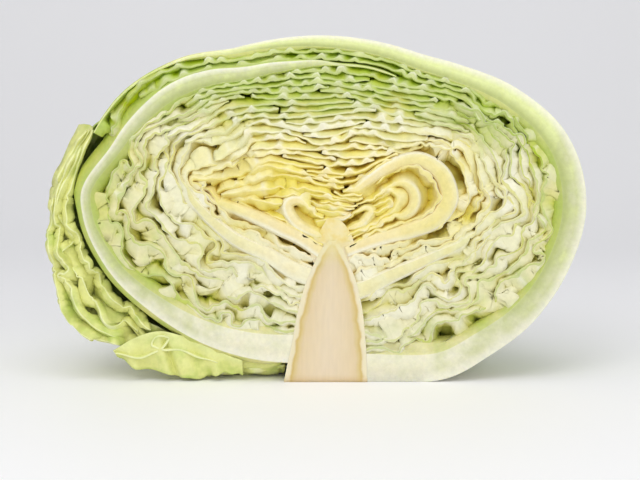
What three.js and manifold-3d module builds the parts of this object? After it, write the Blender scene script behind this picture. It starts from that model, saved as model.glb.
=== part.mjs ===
// Half a savoy cabbage, cut through its stem and standing on the cut foot of the stem.
//
// Millimetres, +Z up. The origin is the middle of the stem's flat foot. +X runs across the cut face
// and +Y runs from the cut face back into the head.
//
// Every leaf wraps round one point, the heart. A leaf is laid out on rays from the heart, so a leaf
// whose distance from it is smaller on every ray lies wholly inside its neighbour, and none can cross.
// A ray is given by its angle in the cut face (0 is +X, 90 is up) and by its depth angle behind it.
import * as THREE from "three";
import { mergeVertices } from "three/addons/utils/BufferGeometryUtils.js";
import Module from "manifold-3d";

const DEG = Math.PI / 180;

// The head
const HEART_HEIGHT = 79; // the point that the leaves wrap, above the foot
const CUT_Y = -9; // the plane of the knife
const DEPTH_POWER = 2.2; // 2 gives an elliptical dome behind the cut face, more gives a fuller one
const SQUAT = [5, 25]; // depth angles over which the left underside comes down to the surface

// The shells that the leaves follow: [angle, radius in the cut face], and how far back each one goes
const SHELLS = [
  {
    depth: 106,
    radii: [
      [-90, 100], [-77, 100], [-60, 96], [-45, 97.5], [-30, 104.5], [-15, 110], [0, 113.5], [15, 109.5],
      [30, 97.5], [45, 84.5], [60, 76.5], [90, 73.5], [120, 79], [135, 90.5], [150, 101.5], [165, 108.5],
      [180, 113], [195, 106.5], [210, 96], [225, 87], [240, 79], [257, 72], [270, 70],
    ],
  },
  {
    depth: 62,
    radii: [
      [-90, 45], [-73, 44], [-47, 46], [-26, 56], [-13, 68], [0, 75], [12, 74], [26, 66], [43, 54],
      [60, 46], [90, 39], [119, 43], [143, 55], [160, 64], [172, 65], [184, 57], [200, 48], [220, 38],
      [257, 36], [270, 36],
    ],
  },
  {
    depth: 40,
    radii: [
      [-90, 26], [-74, 26], [-34, 29], [-13, 45], [0, 55], [13, 57], [25, 51], [40, 36], [60, 23],
      [90, 19], [120, 21], [150, 38], [165, 49], [178, 50], [191, 38], [205, 28], [225, 24], [270, 24],
    ],
  },
  {
    depth: 13,
    radii: [[-90, 21], [-60, 19], [-20, 15], [10, 14], [60, 10], [120, 10], [170, 14], [210, 16], [270, 21]],
  },
];

// Rays: leaves share them, so the leaves nest
const BASE_ANGLE = 13.5; // leaves spring this far round from straight down, at the stem's flank
const STEPS_ROUND = 56;
const DEPTH_ANGLES = [0, 7, 24, 60];
const COARSE_ROWS = [0, 2, 3]; // the rows that the leaves from COARSE_FROM inwards are drawn with
const COARSE_FROM = "leaf_right_3";
const CRINKLE_ROWS = [0, 0, 1, 2]; // rows with the same number crinkle alike
const FIRST_ANGLE = -90 + BASE_ANGLE;
const STEP = (360 - 2 * BASE_ANGLE) / STEPS_ROUND;

// The stem
const STEM_HALF_ANGLE = 12.8; // its flanks point at the heart
const STEM_SHOULDER = 56; // height where the flank turns in to the growing tip
const BUD_RADIUS = 7;
const STEM_SIDES = 28;

// Leaf blades
const BLADE = 0.9; // thickness of a blade away from its rib
const GAP = 0.5; // least clearance between leaves
const ROOM = 2.4; // the share of free space that a leaf asks for, beside its thickness
const CRINKLE = 0.62; // how much of its free space a leaf's crinkles fill
const RIB_DEPTH = 8; // depth angle over which a rib thins into its blade
const TIP_FADE = 16; // degrees past its tip over which a leaf's space closes up

// The leaves from the outside in. side 1 springs from the stem's right flank and runs round to `to`,
// side -1 springs from the left flank, and side 0 is cut across, with its stalk behind the knife.
// rib is its thickness at the stem, and ribTo the angle that the rib has run out at.
const LEAVES = [
  {
    shell: 0,
    leaves: [
      { name: "outer_leaf_right", side: 1, to: 163, rib: 13, ribTo: 118 },
      { name: "leaf_right_1", side: 1, to: 152, rib: 3 },
      { name: "leaf_right_2", side: 1, to: 118, rib: 2 },
      { name: "outer_leaf_left", side: -1, to: 62, rib: 13, ribTo: 84 },
      { name: "leaf_right_3", side: 1, to: 104, rib: 3 },
      { name: "leaf_left_1", side: -1, to: 76, rib: 3 },
      { name: "leaf_right_4", side: 1, to: 70, rib: 4 },
      { name: "leaf_across_1", side: 0, from: 48, to: 142 },
      { name: "leaf_left_2", side: -1, to: 98, rib: 4 },
      { name: "leaf_right_5", side: 1, to: 90, rib: 3 },
      { name: "leaf_left_8", side: -1, to: 132, rib: 3 },
      { name: "leaf_left_3", side: -1, to: 140, rib: 3 },
      { name: "leaf_across_2", side: 0, from: 34, to: 120 },
      { name: "leaf_left_4", side: -1, to: 84, rib: 4 },
      { name: "leaf_right_6", side: 1, to: 44, rib: 3 },
      { name: "leaf_across_6", side: 0, from: 30, to: 112 },
      { name: "leaf_left_5", side: -1, to: 120, rib: 2.5 },
      { name: "leaf_across_7", side: 0, from: 70, to: 152 },
    ],
  },
  {
    shell: 1,
    leaves: [
      { name: "leaf_right_7", side: 1, to: 110, rib: 7, ribTo: -8 },
      { name: "leaf_left_6", side: -1, to: 70, rib: 7.5, ribTo: 168 },
      { name: "leaf_right_8", side: 1, to: 96, rib: 2.5 },
      { name: "leaf_across_3", side: 0, from: 40, to: 150 },
      { name: "leaf_right_9", side: 1, to: 62, rib: 2.5 },
      { name: "leaf_left_7", side: -1, to: 118, rib: 2.5 },
      { name: "leaf_across_4", side: 0, from: 52, to: 140 },
      { name: "leaf_left_9", side: -1, to: 96, rib: 2 },
      { name: "leaf_right_10", side: 1, to: 80, rib: 2 },
      { name: "leaf_across_5", side: 0, from: 48, to: 128 },
    ],
  },
  {
    shell: 2,
    leaves: [
      { name: "heart_leaf_right_1", side: 1, to: 84, rib: 6, ribTo: 70 },
      { name: "heart_leaf_left_1", side: -1, to: 90, rib: 5, ribTo: 176 },
      { name: "heart_leaf_right_2", side: 1, to: 130, rib: 2 },
      { name: "heart_leaf_left_2", side: -1, to: 66, rib: 2 },
      { name: "heart_leaf_right_3", side: 1, to: 150, rib: 2 },
      { name: "heart_leaf_left_3", side: -1, to: 58, rib: 3, ribTo: 150 },
      { name: "heart_leaf_right_4", side: 1, to: 112, rib: 3, ribTo: 30 },
    ],
  },
];

// Wrapper leaves behind the cut face. Each has its midrib in an upright plane through the stem,
// turned `azimuth` from +X, and lies `clear` outside the head. `width` is how far round it reaches on
// either side of its midrib, in degrees, and the midrib stands out by `rib`.
const WRAPPER_LIFT = 2.9; // from one wrapper leaf to the next where they lie flat under the head
const WRAPPER = 1; // thickness
const WRAPPER_ALONG = 20; // cells along a wrapper leaf
const WRAPPER_ACROSS = [-1, -0.76, -0.52, -0.28, -0.06, 0, 0.06, 0.28, 0.52, 0.76, 1];
const WRAPPERS = [
  { name: "wrapper_leaf_back_right", azimuth: 46, clear: 1.7, to: 142, width: [34, 50], rib: 0.8 },
  { name: "wrapper_leaf_back_left", azimuth: 134, clear: 5.2, to: 140, width: [50, 34], rib: 0.8 },
  { name: "wrapper_leaf_back", azimuth: 90, clear: 9.6, to: 148, width: [50, 50], rib: 4 },
];
const WRAPPER_BASE = 14.3; // angle from straight down that a wrapper leaf springs at

// Loose frilled leaves on the left: how far their frill stands out from the head, [angle, distance],
// and the least distance that each of its rows of points, at `depths`, keeps from the head
const FRILL_SPREAD = [1, 0.8, 0.4, 0.12]; // what is left of the frill on each row
const FOLD_POINTS = 4; // stations to a fold
const FRILLS = [
  {
    name: "frilled_leaf_left",
    from: 158,
    to: 214,
    folds: 9,
    depths: [0, 7, 16, 30],
    clear: [2.5, 5, 12.5, 13.5],
    reach: [[158, 3], [166, 5], [174, 8], [182, 11], [190, 15], [198, 21], [206, 27], [214, 19]],
  },
  {
    name: "frilled_leaf_foot",
    from: 216,
    to: 254,
    folds: 5,
    depths: [0, 7, 13, 20],
    clear: [2.5, 8, 11, 12],
    reach: [[216, 20], [226, 17], [236, 11], [246, 6], [254, 3.5]],
  },
];

// Colours, from the heart outwards
const COLOURS = {
  stem: { color: "#e9dfc0", roughness: 0.45 },
  heart: { color: "#eadf86", roughness: 0.45 },
  inner: { color: "#ece8b4", roughness: 0.45 },
  outer: { color: "#d3df9a", roughness: 0.45 },
  wrapper: { color: "#9fbf5a", roughness: 0.5 },
};

// A small seeded generator, so every build gives the same crinkles
function seeded(seed) {
  let state = seed;
  return () => {
    state = (Math.imul(state, 1664525) + 1013904223) >>> 0;
    return state / 2 ** 32;
  };
}

const mix = (a, b, t) => a + (b - a) * t;
const clamp01 = (x) => Math.min(1, Math.max(0, x));
const smooth = (a, b, x) => THREE.MathUtils.smoothstep(x, a, b);

// A smooth curve through [x, y] points
function through(points, x) {
  const last = points.length - 1;
  let k = points.findIndex((p) => p[0] > x) - 1;
  if (k < -1) k = last - 1;
  k = Math.min(Math.max(k, 0), last - 1);
  const slope = (i) => {
    const [a, b] = [points[Math.max(i - 1, 0)], points[Math.min(i + 1, last)]];
    return (b[1] - a[1]) / (b[0] - a[0]);
  };
  const [[x0, y0], [x1, y1]] = [points[k], points[k + 1]];
  const width = x1 - x0;
  const t = clamp01((x - x0) / width);
  const [m0, m1] = [slope(k) * width, slope(k + 1) * width];
  const [t2, t3] = [t * t, t * t * t];
  return (2 * t3 - 3 * t2 + 1) * y0 + (t3 - 2 * t2 + t) * m0 + (3 * t2 - 2 * t3) * y1 + (t3 - t2) * m1;
}

// Distance from the heart to a shell, on the ray at an angle and a depth angle
function shellDistance(shell, angle, depth) {
  const { radii, depth: back } = SHELLS[shell];
  let radius = through(radii, angle);
  if (angle > 180) radius = mix(radius, through(radii, 180 - angle), smooth(...SQUAT, depth));
  const across = Math.cos(depth * DEG) / radius;
  const behind = Math.sin(depth * DEG) / back;
  return (across ** DEPTH_POWER + behind ** DEPTH_POWER) ** (-1 / DEPTH_POWER);
}

function rayDirection(angle, depth) {
  const [a, d] = [angle * DEG, depth * DEG];
  return new THREE.Vector3(Math.cos(a) * Math.cos(d), Math.sin(d), Math.sin(a) * Math.cos(d));
}

function pointOn(direction, distance) {
  return new THREE.Vector3(0, CUT_Y, HEART_HEIGHT).addScaledVector(direction, distance);
}

// The farthest that a ray may go and stay `height` above the surface that the head stands on
function floorDistance(direction, height) {
  return direction.z < -0.05 ? (HEART_HEIGHT - height) / -direction.z : Infinity;
}

// The outside of the packed head, clear of the wrapper leaves that lie under it further back
function headDistance(direction) {
  const depth = Math.asin(direction.y) / DEG;
  let angle = Math.atan2(direction.z, direction.x) / DEG;
  if (angle < -90) angle += 360;
  const height = (WRAPPERS.length * WRAPPER_LIFT + GAP) * smooth(1, 7, depth);
  return Math.min(shellDistance(0, angle, depth), floorDistance(direction, height));
}

// A closed blade from a grid of rays: grid[i][j] = { direction, outer, inner }, angle rising with i
function bladeGeometry(grid) {
  const [n, m] = [grid.length - 1, grid[0].length - 1];
  const positions = [];
  for (const face of ["outer", "inner"])
    for (const row of grid)
      for (const cell of row) positions.push(...pointOn(cell.direction, cell[face]).toArray());
  const outer = (i, j) => i * (m + 1) + j;
  const inner = (i, j) => (n + 1) * (m + 1) + outer(i, j);
  const index = [];
  const quad = (a, b, c, d) => index.push(a, b, c, a, c, d);
  for (let i = 0; i < n; i++)
    for (let j = 0; j < m; j++) {
      quad(outer(i, j), outer(i, j + 1), outer(i + 1, j + 1), outer(i + 1, j));
      index.push(inner(i, j), inner(i + 1, j + 1), inner(i, j + 1));
      index.push(inner(i, j), inner(i + 1, j), inner(i + 1, j + 1));
    }
  for (let i = 0; i < n; i++) {
    quad(outer(i, 0), outer(i + 1, 0), inner(i + 1, 0), inner(i, 0));
    quad(outer(i + 1, m), outer(i, m), inner(i, m), inner(i + 1, m));
  }
  for (let j = 0; j < m; j++) {
    quad(outer(0, j + 1), outer(0, j), inner(0, j), inner(0, j + 1));
    quad(outer(n, j), outer(n, j + 1), inner(n, j + 1), inner(n, j));
  }
  const geometry = new THREE.BufferGeometry();
  geometry.setAttribute("position", new THREE.Float32BufferAttribute(positions, 3));
  geometry.setIndex(index);
  geometry.computeVertexNormals();
  return geometry;
}

function material(finish) {
  return new THREE.MeshStandardMaterial({ ...COLOURS[finish], metalness: 0, side: THREE.DoubleSide });
}

function named(name, geometry, finish) {
  const mesh = new THREE.Mesh(geometry, material(finish));
  mesh.name = name;
  return mesh;
}

// First and last angle of a leaf
function span(leaf) {
  if (leaf.side === 0) return [leaf.from, leaf.to];
  return leaf.side > 0 ? [FIRST_ANGLE, leaf.to] : [leaf.to, 270 - BASE_ANGLE];
}

// Thickness of a leaf on a ray: its rib runs in the cut face and thins towards the tip and sideways
function thickness(leaf, angle, depth) {
  if (!leaf.rib) return BLADE;
  const base = leaf.side > 0 ? FIRST_ANGLE : 270 - BASE_ANGLE;
  const ribTo = leaf.ribTo ?? base + leaf.side * 70;
  const run = clamp01((angle - base) / (ribTo - base));
  return BLADE + (leaf.rib - BLADE) * (1 - run) ** 0.7 * Math.exp(-((depth / RIB_DEPTH) ** 2));
}

// How much of its space a leaf takes at an angle: 1 on the leaf, falling to 0 past its tip
function presence(leaf, angle) {
  const [first, last] = span(leaf);
  return smooth(first - TIP_FADE, first, angle) * (1 - smooth(last, last + TIP_FADE, angle));
}

// Where the middle of each leaf of a group lies on a ray, and the free space it has
function shareSpace(group, angle, depth, outermost) {
  const direction = rayDirection(angle, depth);
  const inside = group.shell + 1 < SHELLS.length ? shellDistance(group.shell + 1, angle, depth) : BUD_RADIUS;
  const outside = outermost ? headDistance(direction) : shellDistance(group.shell, angle, depth);
  const asks = group.leaves.map((leaf) => (thickness(leaf, angle, depth) + ROOM) * presence(leaf, angle));
  const scale = (outside - inside) / Math.max(asks.reduce((a, b) => a + b, 0), 1);
  let passed = 0;
  return group.leaves.map((leaf, k) => {
    const middle = outside - (passed + asks[k] / 2) * scale;
    passed += asks[k];
    return { middle, free: Math.max(0, asks[k] * scale - thickness(leaf, angle, depth) - GAP) };
  });
}

// A leaf drawn without the row at the second depth angle runs straight past it, so it's kept as far in
// as it takes to clear that row
function clearStraight(pressed) {
  const [, near, far] = DEPTH_ANGLES;
  for (const limits of pressed) {
    const [a, b] = [limits[0], limits[2]];
    const across = a * Math.sin(near * DEG) + b * Math.sin((far - near) * DEG);
    const lack = Math.max(0, (a * b * Math.sin(far * DEG)) / across - limits[1]);
    limits[0] -= lack;
    limits[2] -= lack;
  }
}

// Every leaf of the packed head, pressed in behind the one outside it
function packedLeaves() {
  const random = seeded(7);
  const grids = new Map();
  let fine = true;
  const pressed = Array.from({ length: STEPS_ROUND + 1 }, () => DEPTH_ANGLES.map(() => Infinity));
  for (const group of LEAVES)
    for (const [k, leaf] of group.leaves.entries()) {
      const [first, last] = span(leaf);
      if (leaf.name === COARSE_FROM) {
        fine = false;
        clearStraight(pressed);
      }
      const crinkleSize = Array.from({ length: STEPS_ROUND + 1 }, () =>
        [0, 1, 2].map(() => mix(0.4, 1, random())),
      );
      const rows = fine ? DEPTH_ANGLES.keys().toArray() : COARSE_ROWS;
      const grid = [];
      for (let i = 0; i <= STEPS_ROUND; i++) {
        const angle = FIRST_ANGLE + i * STEP;
        if (angle < first - STEP / 2 || angle > last + STEP / 2) continue;
        grid.push(
          rows.map((j) => {
            const depth = DEPTH_ANGLES[j];
            const direction = rayDirection(angle, depth);
            const thick = thickness(leaf, angle, depth);
            const { middle, free } = shareSpace(group, angle, depth, group.shell === 0)[k];
            const outermost = leaf.name === "outer_leaf_right";
            const side = (i + CRINKLE_ROWS[j]) % 2 ? 1 : -1;
            const ribbed = clamp01((thick - BLADE) / 3);
            const size = crinkleSize[i][CRINKLE_ROWS[j]];
            const crinkle = side * (CRINKLE / 2) * free * (1 - ribbed) * size;
            const wished = outermost ? headDistance(direction) : middle + crinkle + thick / 2;
            const outer = Math.min(wished, pressed[i][j], headDistance(direction));
            pressed[i][j] = outer - thick - GAP;
            return { direction, outer, inner: outer - thick };
          }),
        );
      }
      grids.set(leaf.name, grid);
    }
  return grids;
}

// A wrapper leaf behind the head, narrow where it springs from the stem and pointed at its tip
function wrapperLeaf({ azimuth, clear, to, width, rib }, below) {
  const turn = azimuth * DEG;
  const out = new THREE.Vector3(Math.cos(turn), Math.sin(turn), 0);
  const aside = new THREE.Vector3(-Math.sin(turn), Math.cos(turn), 0);
  const up = new THREE.Vector3(0, 0, 1);
  const grid = [];
  for (const side of WRAPPER_ACROSS.toReversed()) {
    const row = [];
    for (let i = 0; i <= WRAPPER_ALONG; i++) {
      const run = i / WRAPPER_ALONG;
      const along = mix(WRAPPER_BASE, to, run) * DEG;
      const share = Math.min(mix(0.14, 1, smooth(0, 0.4, run)), mix(0.35, 1, smooth(0, 0.3, 1 - run)));
      const across = side * share * (side < 0 ? width[0] : width[1]) * DEG;
      const direction = new THREE.Vector3()
        .addScaledVector(out, Math.cos(across) * Math.sin(along))
        .addScaledVector(up, -Math.cos(across) * Math.cos(along))
        .addScaledVector(aside, Math.sin(across));
      const height = below * WRAPPER_LIFT;
      const inner = Math.min(headDistance(direction) + clear, floorDistance(direction, height + WRAPPER));
      const ridge = side === 0 ? rib * (1 - run) ** 0.5 : 0;
      const outer = Math.min(inner + WRAPPER + ridge, floorDistance(direction, height));
      row.push({ direction, outer, inner });
    }
    grid.push(row);
  }
  return bladeGeometry(grid);
}

// A loose leaf whose edge is gathered in folds that stand out from the head
function frilledLeaf({ from, to, folds, depths, clear, reach }, random) {
  const stations = folds * FOLD_POINTS;
  const sizes = Array.from({ length: folds + 1 }, () => mix(0.7, 1, random()));
  const grid = [];
  for (let i = 0; i <= stations; i++) {
    const angle = mix(from, to, i / stations);
    const turn = (i / FOLD_POINTS) * 2 * Math.PI;
    const fold = mix(0.2, sizes[Math.floor(i / FOLD_POINTS)], (1 - Math.cos(turn)) / 2);
    grid.push(
      depths.map((depth, j) => {
        const direction = rayDirection(angle, depth);
        const stands = Math.max(0, through(reach, angle) - clear[j]) * FRILL_SPREAD[j] * fold;
        const wished = headDistance(direction) + clear[j] + stands;
        const inner = Math.min(wished, floorDistance(direction, 2 * BLADE));
        return { direction, outer: inner + BLADE, inner };
      }),
    );
  }
  return bladeGeometry(grid);
}

// The stem: a cone whose flanks point at the heart, with the growing tip on it, cut by the knife
async function stemGeometry() {
  const wasm = await Module();
  wasm.setup();
  const flank = (height) => Math.tan(STEM_HALF_ANGLE * DEG) * (HEART_HEIGHT - height);
  const profile = [
    [0, 0],
    [flank(0), 0],
    [flank(STEM_SHOULDER), STEM_SHOULDER],
    [3.2, STEM_SHOULDER + 7],
    [1.3, HEART_HEIGHT - 7],
    [3.6, HEART_HEIGHT - 3.5],
    [4.8, HEART_HEIGHT],
    [3.4, HEART_HEIGHT + 3.4],
    [0, HEART_HEIGHT + 5],
  ].map(([radius, height]) => new THREE.Vector2(radius, height));
  const whole = new THREE.LatheGeometry(profile, STEM_SIDES);
  whole.rotateX(Math.PI / 2);
  whole.translate(0, CUT_Y, 0);
  const kept = new THREE.BoxGeometry(100, 100, 200);
  kept.translate(0, CUT_Y + 50, 0);
  const solidOf = (geometry) => {
    geometry.deleteAttribute("normal");
    geometry.deleteAttribute("uv");
    const merged = mergeVertices(geometry, 1e-4);
    return new wasm.Manifold(
      new wasm.Mesh({
        numProp: 3,
        vertProperties: new Float32Array(merged.attributes.position.array),
        triVerts: new Uint32Array(merged.index.array),
      }),
    );
  };
  const cut = solidOf(whole).intersect(solidOf(kept)).getMesh();
  const geometry = new THREE.BufferGeometry();
  geometry.setAttribute("position", new THREE.Float32BufferAttribute(cut.vertProperties, 3));
  geometry.setIndex([...cut.triVerts]);
  geometry.computeVertexNormals();
  return geometry;
}

const cabbage = new THREE.Group();
cabbage.name = "half_savoy_cabbage";
cabbage.add(named("stem", await stemGeometry(), "stem"));
for (const [name, grid] of packedLeaves()) {
  const finish = name.startsWith("heart") ? "heart" : name.startsWith("outer") ? "outer" : "inner";
  cabbage.add(named(name, bladeGeometry(grid), finish));
}
WRAPPERS.forEach((wrapper, k) => {
  cabbage.add(named(wrapper.name, wrapperLeaf(wrapper, WRAPPERS.length - 1 - k), "wrapper"));
});
const frillRandom = seeded(23);
for (const frill of FRILLS) cabbage.add(named(frill.name, frilledLeaf(frill, frillRandom), "wrapper"));

export default cabbage;
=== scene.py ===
# %% [markdown]
# # Half a savoy cabbage
#
# A savoy cabbage is a packed bud: a short stem with a growing tip, and some thirty leaves that spring
# from the stem one after another and wrap round the tip. Each leaf goes on growing after its outer
# neighbour has shut it in, so its blade has no room left and buckles into crinkles. A knife has cut this
# head lengthwise through the stem, and the half stands on the stem's foot with the cut face forward.
#
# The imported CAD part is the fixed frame. It holds every leaf in its place, with few faces. This lesson
# dresses it: the leaves are grown again with their real crinkles, and then get their colours.

import math

import bpy
import numpy as np
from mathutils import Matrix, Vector


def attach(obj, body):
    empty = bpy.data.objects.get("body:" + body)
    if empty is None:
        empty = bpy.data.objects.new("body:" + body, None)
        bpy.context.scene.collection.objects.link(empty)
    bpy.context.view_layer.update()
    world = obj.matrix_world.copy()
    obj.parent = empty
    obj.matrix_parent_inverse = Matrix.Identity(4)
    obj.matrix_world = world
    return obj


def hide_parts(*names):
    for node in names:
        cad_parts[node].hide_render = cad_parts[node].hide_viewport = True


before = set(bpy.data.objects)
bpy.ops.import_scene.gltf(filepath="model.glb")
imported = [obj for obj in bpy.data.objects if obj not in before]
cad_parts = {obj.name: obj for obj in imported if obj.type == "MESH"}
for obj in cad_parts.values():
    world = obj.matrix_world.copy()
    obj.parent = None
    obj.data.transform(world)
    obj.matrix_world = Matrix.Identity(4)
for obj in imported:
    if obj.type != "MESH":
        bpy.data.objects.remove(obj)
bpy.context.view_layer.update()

# %% [markdown]
# ## The camera
#
# The cut face is what a cook looks at, so the camera faces it almost squarely, a little above it and
# about half a metre away. Its lens is set from the width that the picture has to take in, which is
# easier to reason about than a focal length.

# %% Place the camera
MM = 0.001
DEG = math.pi / 180
HEART = np.array([0.0, -9.0, 79.0])  # the point that the leaves wrap, in mm
CUT_Y = HEART[1]  # the plane of the knife

CAMERA_DISTANCE = 560.0
CAMERA_ELEVATION = 5.0
PICTURE_WIDTH = 281.6  # how much of the plane of the cut the picture takes in, in mm
look_at = np.array([-3.5, CUT_Y, 63.4])

camera = bpy.data.objects.new("camera", bpy.data.cameras.new("camera"))
bpy.context.scene.collection.objects.link(camera)
back_off = np.array([0, -math.cos(CAMERA_ELEVATION * DEG), math.sin(CAMERA_ELEVATION * DEG)])
camera.location = Vector((look_at + back_off * CAMERA_DISTANCE) * MM)
camera.rotation_euler = (math.pi / 2 - CAMERA_ELEVATION * DEG, 0, 0)
camera.data.sensor_width = 36.0
camera.data.lens = 36.0 * CAMERA_DISTANCE / PICTURE_WIDTH
camera.data.clip_start = 0.01
bpy.context.scene.camera = camera
print("lens:", round(camera.data.lens, 1), "mm, camera at", [round(v, 3) for v in camera.location])

# %% [markdown]
# ## Numbers that are used again and again
#
# Leaves are described by a few given points with smooth curves through them, and by smooth
# noise. Noise comes from a seeded lattice of random numbers, blended smoothly from one lattice point to
# the next, so every run of the lesson grows the same head.

# %% Smooth steps, curves and noise
def smooth(low, high, x):
    t = np.clip((np.asarray(x, float) - low) / (high - low), 0, 1)
    return t * t * (3 - 2 * t)


def mix(a, b, t):
    return a + (b - a) * t


def unit(vectors):
    return vectors / np.maximum(np.linalg.norm(vectors, axis=-1, keepdims=True), 1e-9)


def ray(angle):
    """Unit vectors in the cut face, at angles round the heart."""
    return np.stack([np.cos(angle * DEG), np.sin(angle * DEG)], -1)


def bridge(t, width, first, last, first_slope, last_slope):
    """A smooth curve from one value to another with a slope at each end, a share t of the way."""
    rise = (t**3 - 2 * t**2 + t) * first_slope + (t**3 - t**2) * last_slope
    blend = 3 * t**2 - 2 * t**3
    return (1 - blend) * first + blend * last + rise * width


def through(points, x):
    """A smooth curve through [x, y] points."""
    p = np.asarray(points, float)
    x = np.clip(np.asarray(x, float), p[0, 0], p[-1, 0])
    k = np.clip(np.searchsorted(p[:, 0], x, side="right") - 1, 0, len(p) - 2)
    before = np.maximum(np.arange(len(p)) - 1, 0)
    after = np.minimum(np.arange(len(p)) + 1, len(p) - 1)
    slope = (p[after, 1] - p[before, 1]) / (p[after, 0] - p[before, 0])
    width = p[k + 1, 0] - p[k, 0]
    return bridge((x - p[k, 0]) / width, width, p[k, 1], p[k + 1, 1], slope[k], slope[k + 1])


def curve_through(points, count):
    """A smooth line through points in a plane: where along their list it is, and its own points."""
    stations = np.arange(len(points))
    fine = np.linspace(0, stations[-1], count)
    line = [through(np.c_[stations, np.array(points)[:, axis]], fine) for axis in (0, 1)]
    return fine, np.stack(line, -1)


class Noise:
    """Smooth noise in space, `size` mm from one bump to the next (the third size is for depth)."""

    def __init__(self, seed, size, channels=1):
        self.lattice = np.random.default_rng(seed).normal(size=(40, 24, 40, channels))
        self.size = np.broadcast_to(np.asarray(size, float), (3,))

    def __call__(self, points):
        scaled = np.asarray(points, float) / self.size + 200
        cell = np.floor(scaled).astype(int)
        f = scaled - cell
        f = f**3 * (f * (6 * f - 15) + 10)
        total = 0
        for dx in (0, 1):
            for dy in (0, 1):
                for dz in (0, 1):
                    corner = np.array([dx, dy, dz])
                    share = np.prod(np.where(corner, f, 1 - f), axis=-1)
                    i, j, k = np.moveaxis((cell + corner) % self.lattice.shape[:3], -1, 0)
                    total = total + share[..., None] * self.lattice[i, j, k]
        return total if total.shape[-1] > 1 else total[..., 0]


print("a curve at the middle of its points:", float(through([[0, 0], [1, 2], [2, 3]], 1)))

# %% [markdown]
# ## The shells
#
# Four nested shells shape the head: its outside, the outside of the inner leaves, the heart and the
# growing tip. In the cut face a shell is a closed curve round the heart point, and behind the knife it
# closes like a dome. A leaf that stays at the same share of the way from one shell to the next can't
# cross its neighbours. The sizes are those of the CAD part, whose leaves follow the same rule.

# %% The shells of the head
POWER = 2.2  # how full the dome behind the knife is: 2 is an ellipse
SQUAT = (5, 25)  # depth angles over which the left underside comes down to the table
SHELLS = [
    (106, [[-90, 100], [-77, 100], [-60, 96], [-45, 97.5], [-30, 104.5], [-15, 110], [0, 113.5],
           [15, 109.5], [30, 97.5], [45, 84.5], [60, 76.5], [90, 73.5], [120, 79], [135, 90.5],
           [150, 101.5], [165, 108.5], [180, 113], [195, 106.5], [210, 96], [225, 87], [240, 79],
           [257, 72], [270, 70]]),
    (62, [[-90, 45], [-73, 44], [-47, 46], [-26, 56], [-13, 68], [0, 75], [12, 74], [26, 66], [43, 54],
          [60, 46], [90, 39], [119, 43], [143, 55], [160, 64], [172, 65], [184, 57], [200, 48], [220, 38],
          [257, 36], [270, 36]]),
    (40, [[-90, 26], [-74, 26], [-34, 29], [-13, 45], [0, 57], [13, 62], [24, 57], [31, 48], [38, 36],
          [45, 27], [55, 21], [70, 18], [90, 17], [120, 20], [150, 38], [165, 51], [178, 53], [191, 38],
          [205, 28], [225, 24], [270, 24]]),
]
WRAPPER_LIFT = 2.9  # from one wrapper leaf to the next where they lie flat under the head
GAP = 0.5


def shell_distance(shell, angle, depth):
    """Distance from the heart to a shell, on the ray at an angle in the cut face and a depth angle."""
    back, radii = SHELLS[shell]
    radius = through(radii, angle)
    mirrored = through(radii, np.minimum(180 - angle, 90))
    radius = np.where(angle > 180, mix(radius, mirrored, smooth(*SQUAT, depth)), radius)
    across = np.cos(depth * DEG) / radius
    behind = np.sin(depth * DEG) / back
    return (across**POWER + behind**POWER) ** (-1 / POWER)


def floor_distance(angle, depth, height):
    """The farthest that a ray may go and stay `height` above the table."""
    down = -np.sin(angle * DEG) * np.cos(depth * DEG)
    return np.where(down > 0.05, (HEART[2] - height) / np.maximum(down, 0.05), 1e6)


def head_distance(angle, depth):
    """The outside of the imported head, rounded where it comes down on the table."""
    lift = (3 * WRAPPER_LIFT + GAP) * smooth(1, 7, depth)
    reach = shell_distance(0, angle, depth)
    floor = floor_distance(angle, depth, lift)
    soft = 3.5
    return -soft * np.logaddexp(-reach / soft, -floor / soft)


print("the head reaches", float(head_distance(np.array(0.0), 0.0).round(1)), "mm to the right")

# %% [markdown]
# ## The leaves
#
# Every leaf has a side that it springs from, an angle that it wraps round to, a thickness at the stem
# and a thickness of its blade. The first leaf of each shell and side is cut along its midrib, which is
# thick and stiff. The others are cut beside it, so only a short stalk is thick. `crumple` is how much
# more blade a leaf grows than it has room for: the sides of the head are crumpled most, and under the
# crown the leaves lie pressed flat.

# %% The table of leaves
BASE_ANGLE = 12.7  # leaves spring this far round from straight down
FIRST_ANGLE = -90 + BASE_ANGLE
LAST_ANGLE = 270 - BASE_ANGLE
ROOM = 2.4  # the share of free space that a leaf asks for, beside its thickness
TIP_FADE = 16  # degrees past its tip over which a leaf's space closes up
RIB_DEPTH = 8  # depth angle over which a midrib thins into its blade


def leaf(name, side, to, stalk, blade=1.3, crumple=1.0, rib_to=None, start=None, rib=None):
    return dict(name=name, side=side, to=to, stalk=stalk, blade=blade, crumple=crumple,
                rib_to=rib_to, start=start, rib=rib)


RIB_RIGHT = [[-77, 13], [-45, 12], [-20, 10.5], [0, 10.5], [20, 9.6], [45, 7.6], [70, 6], [90, 5.2],
             [118, 3], [140, 1.7], [163, 1.2]]
RIB_LEFT = [[62, 1.1], [84, 1.8], [100, 3.4], [120, 5.6], [137, 7.2], [152, 6.6], [166, 4.8], [182, 4.6],
            [197, 6.2], [214, 8.6], [238, 11.5], [257, 13]]


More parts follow.
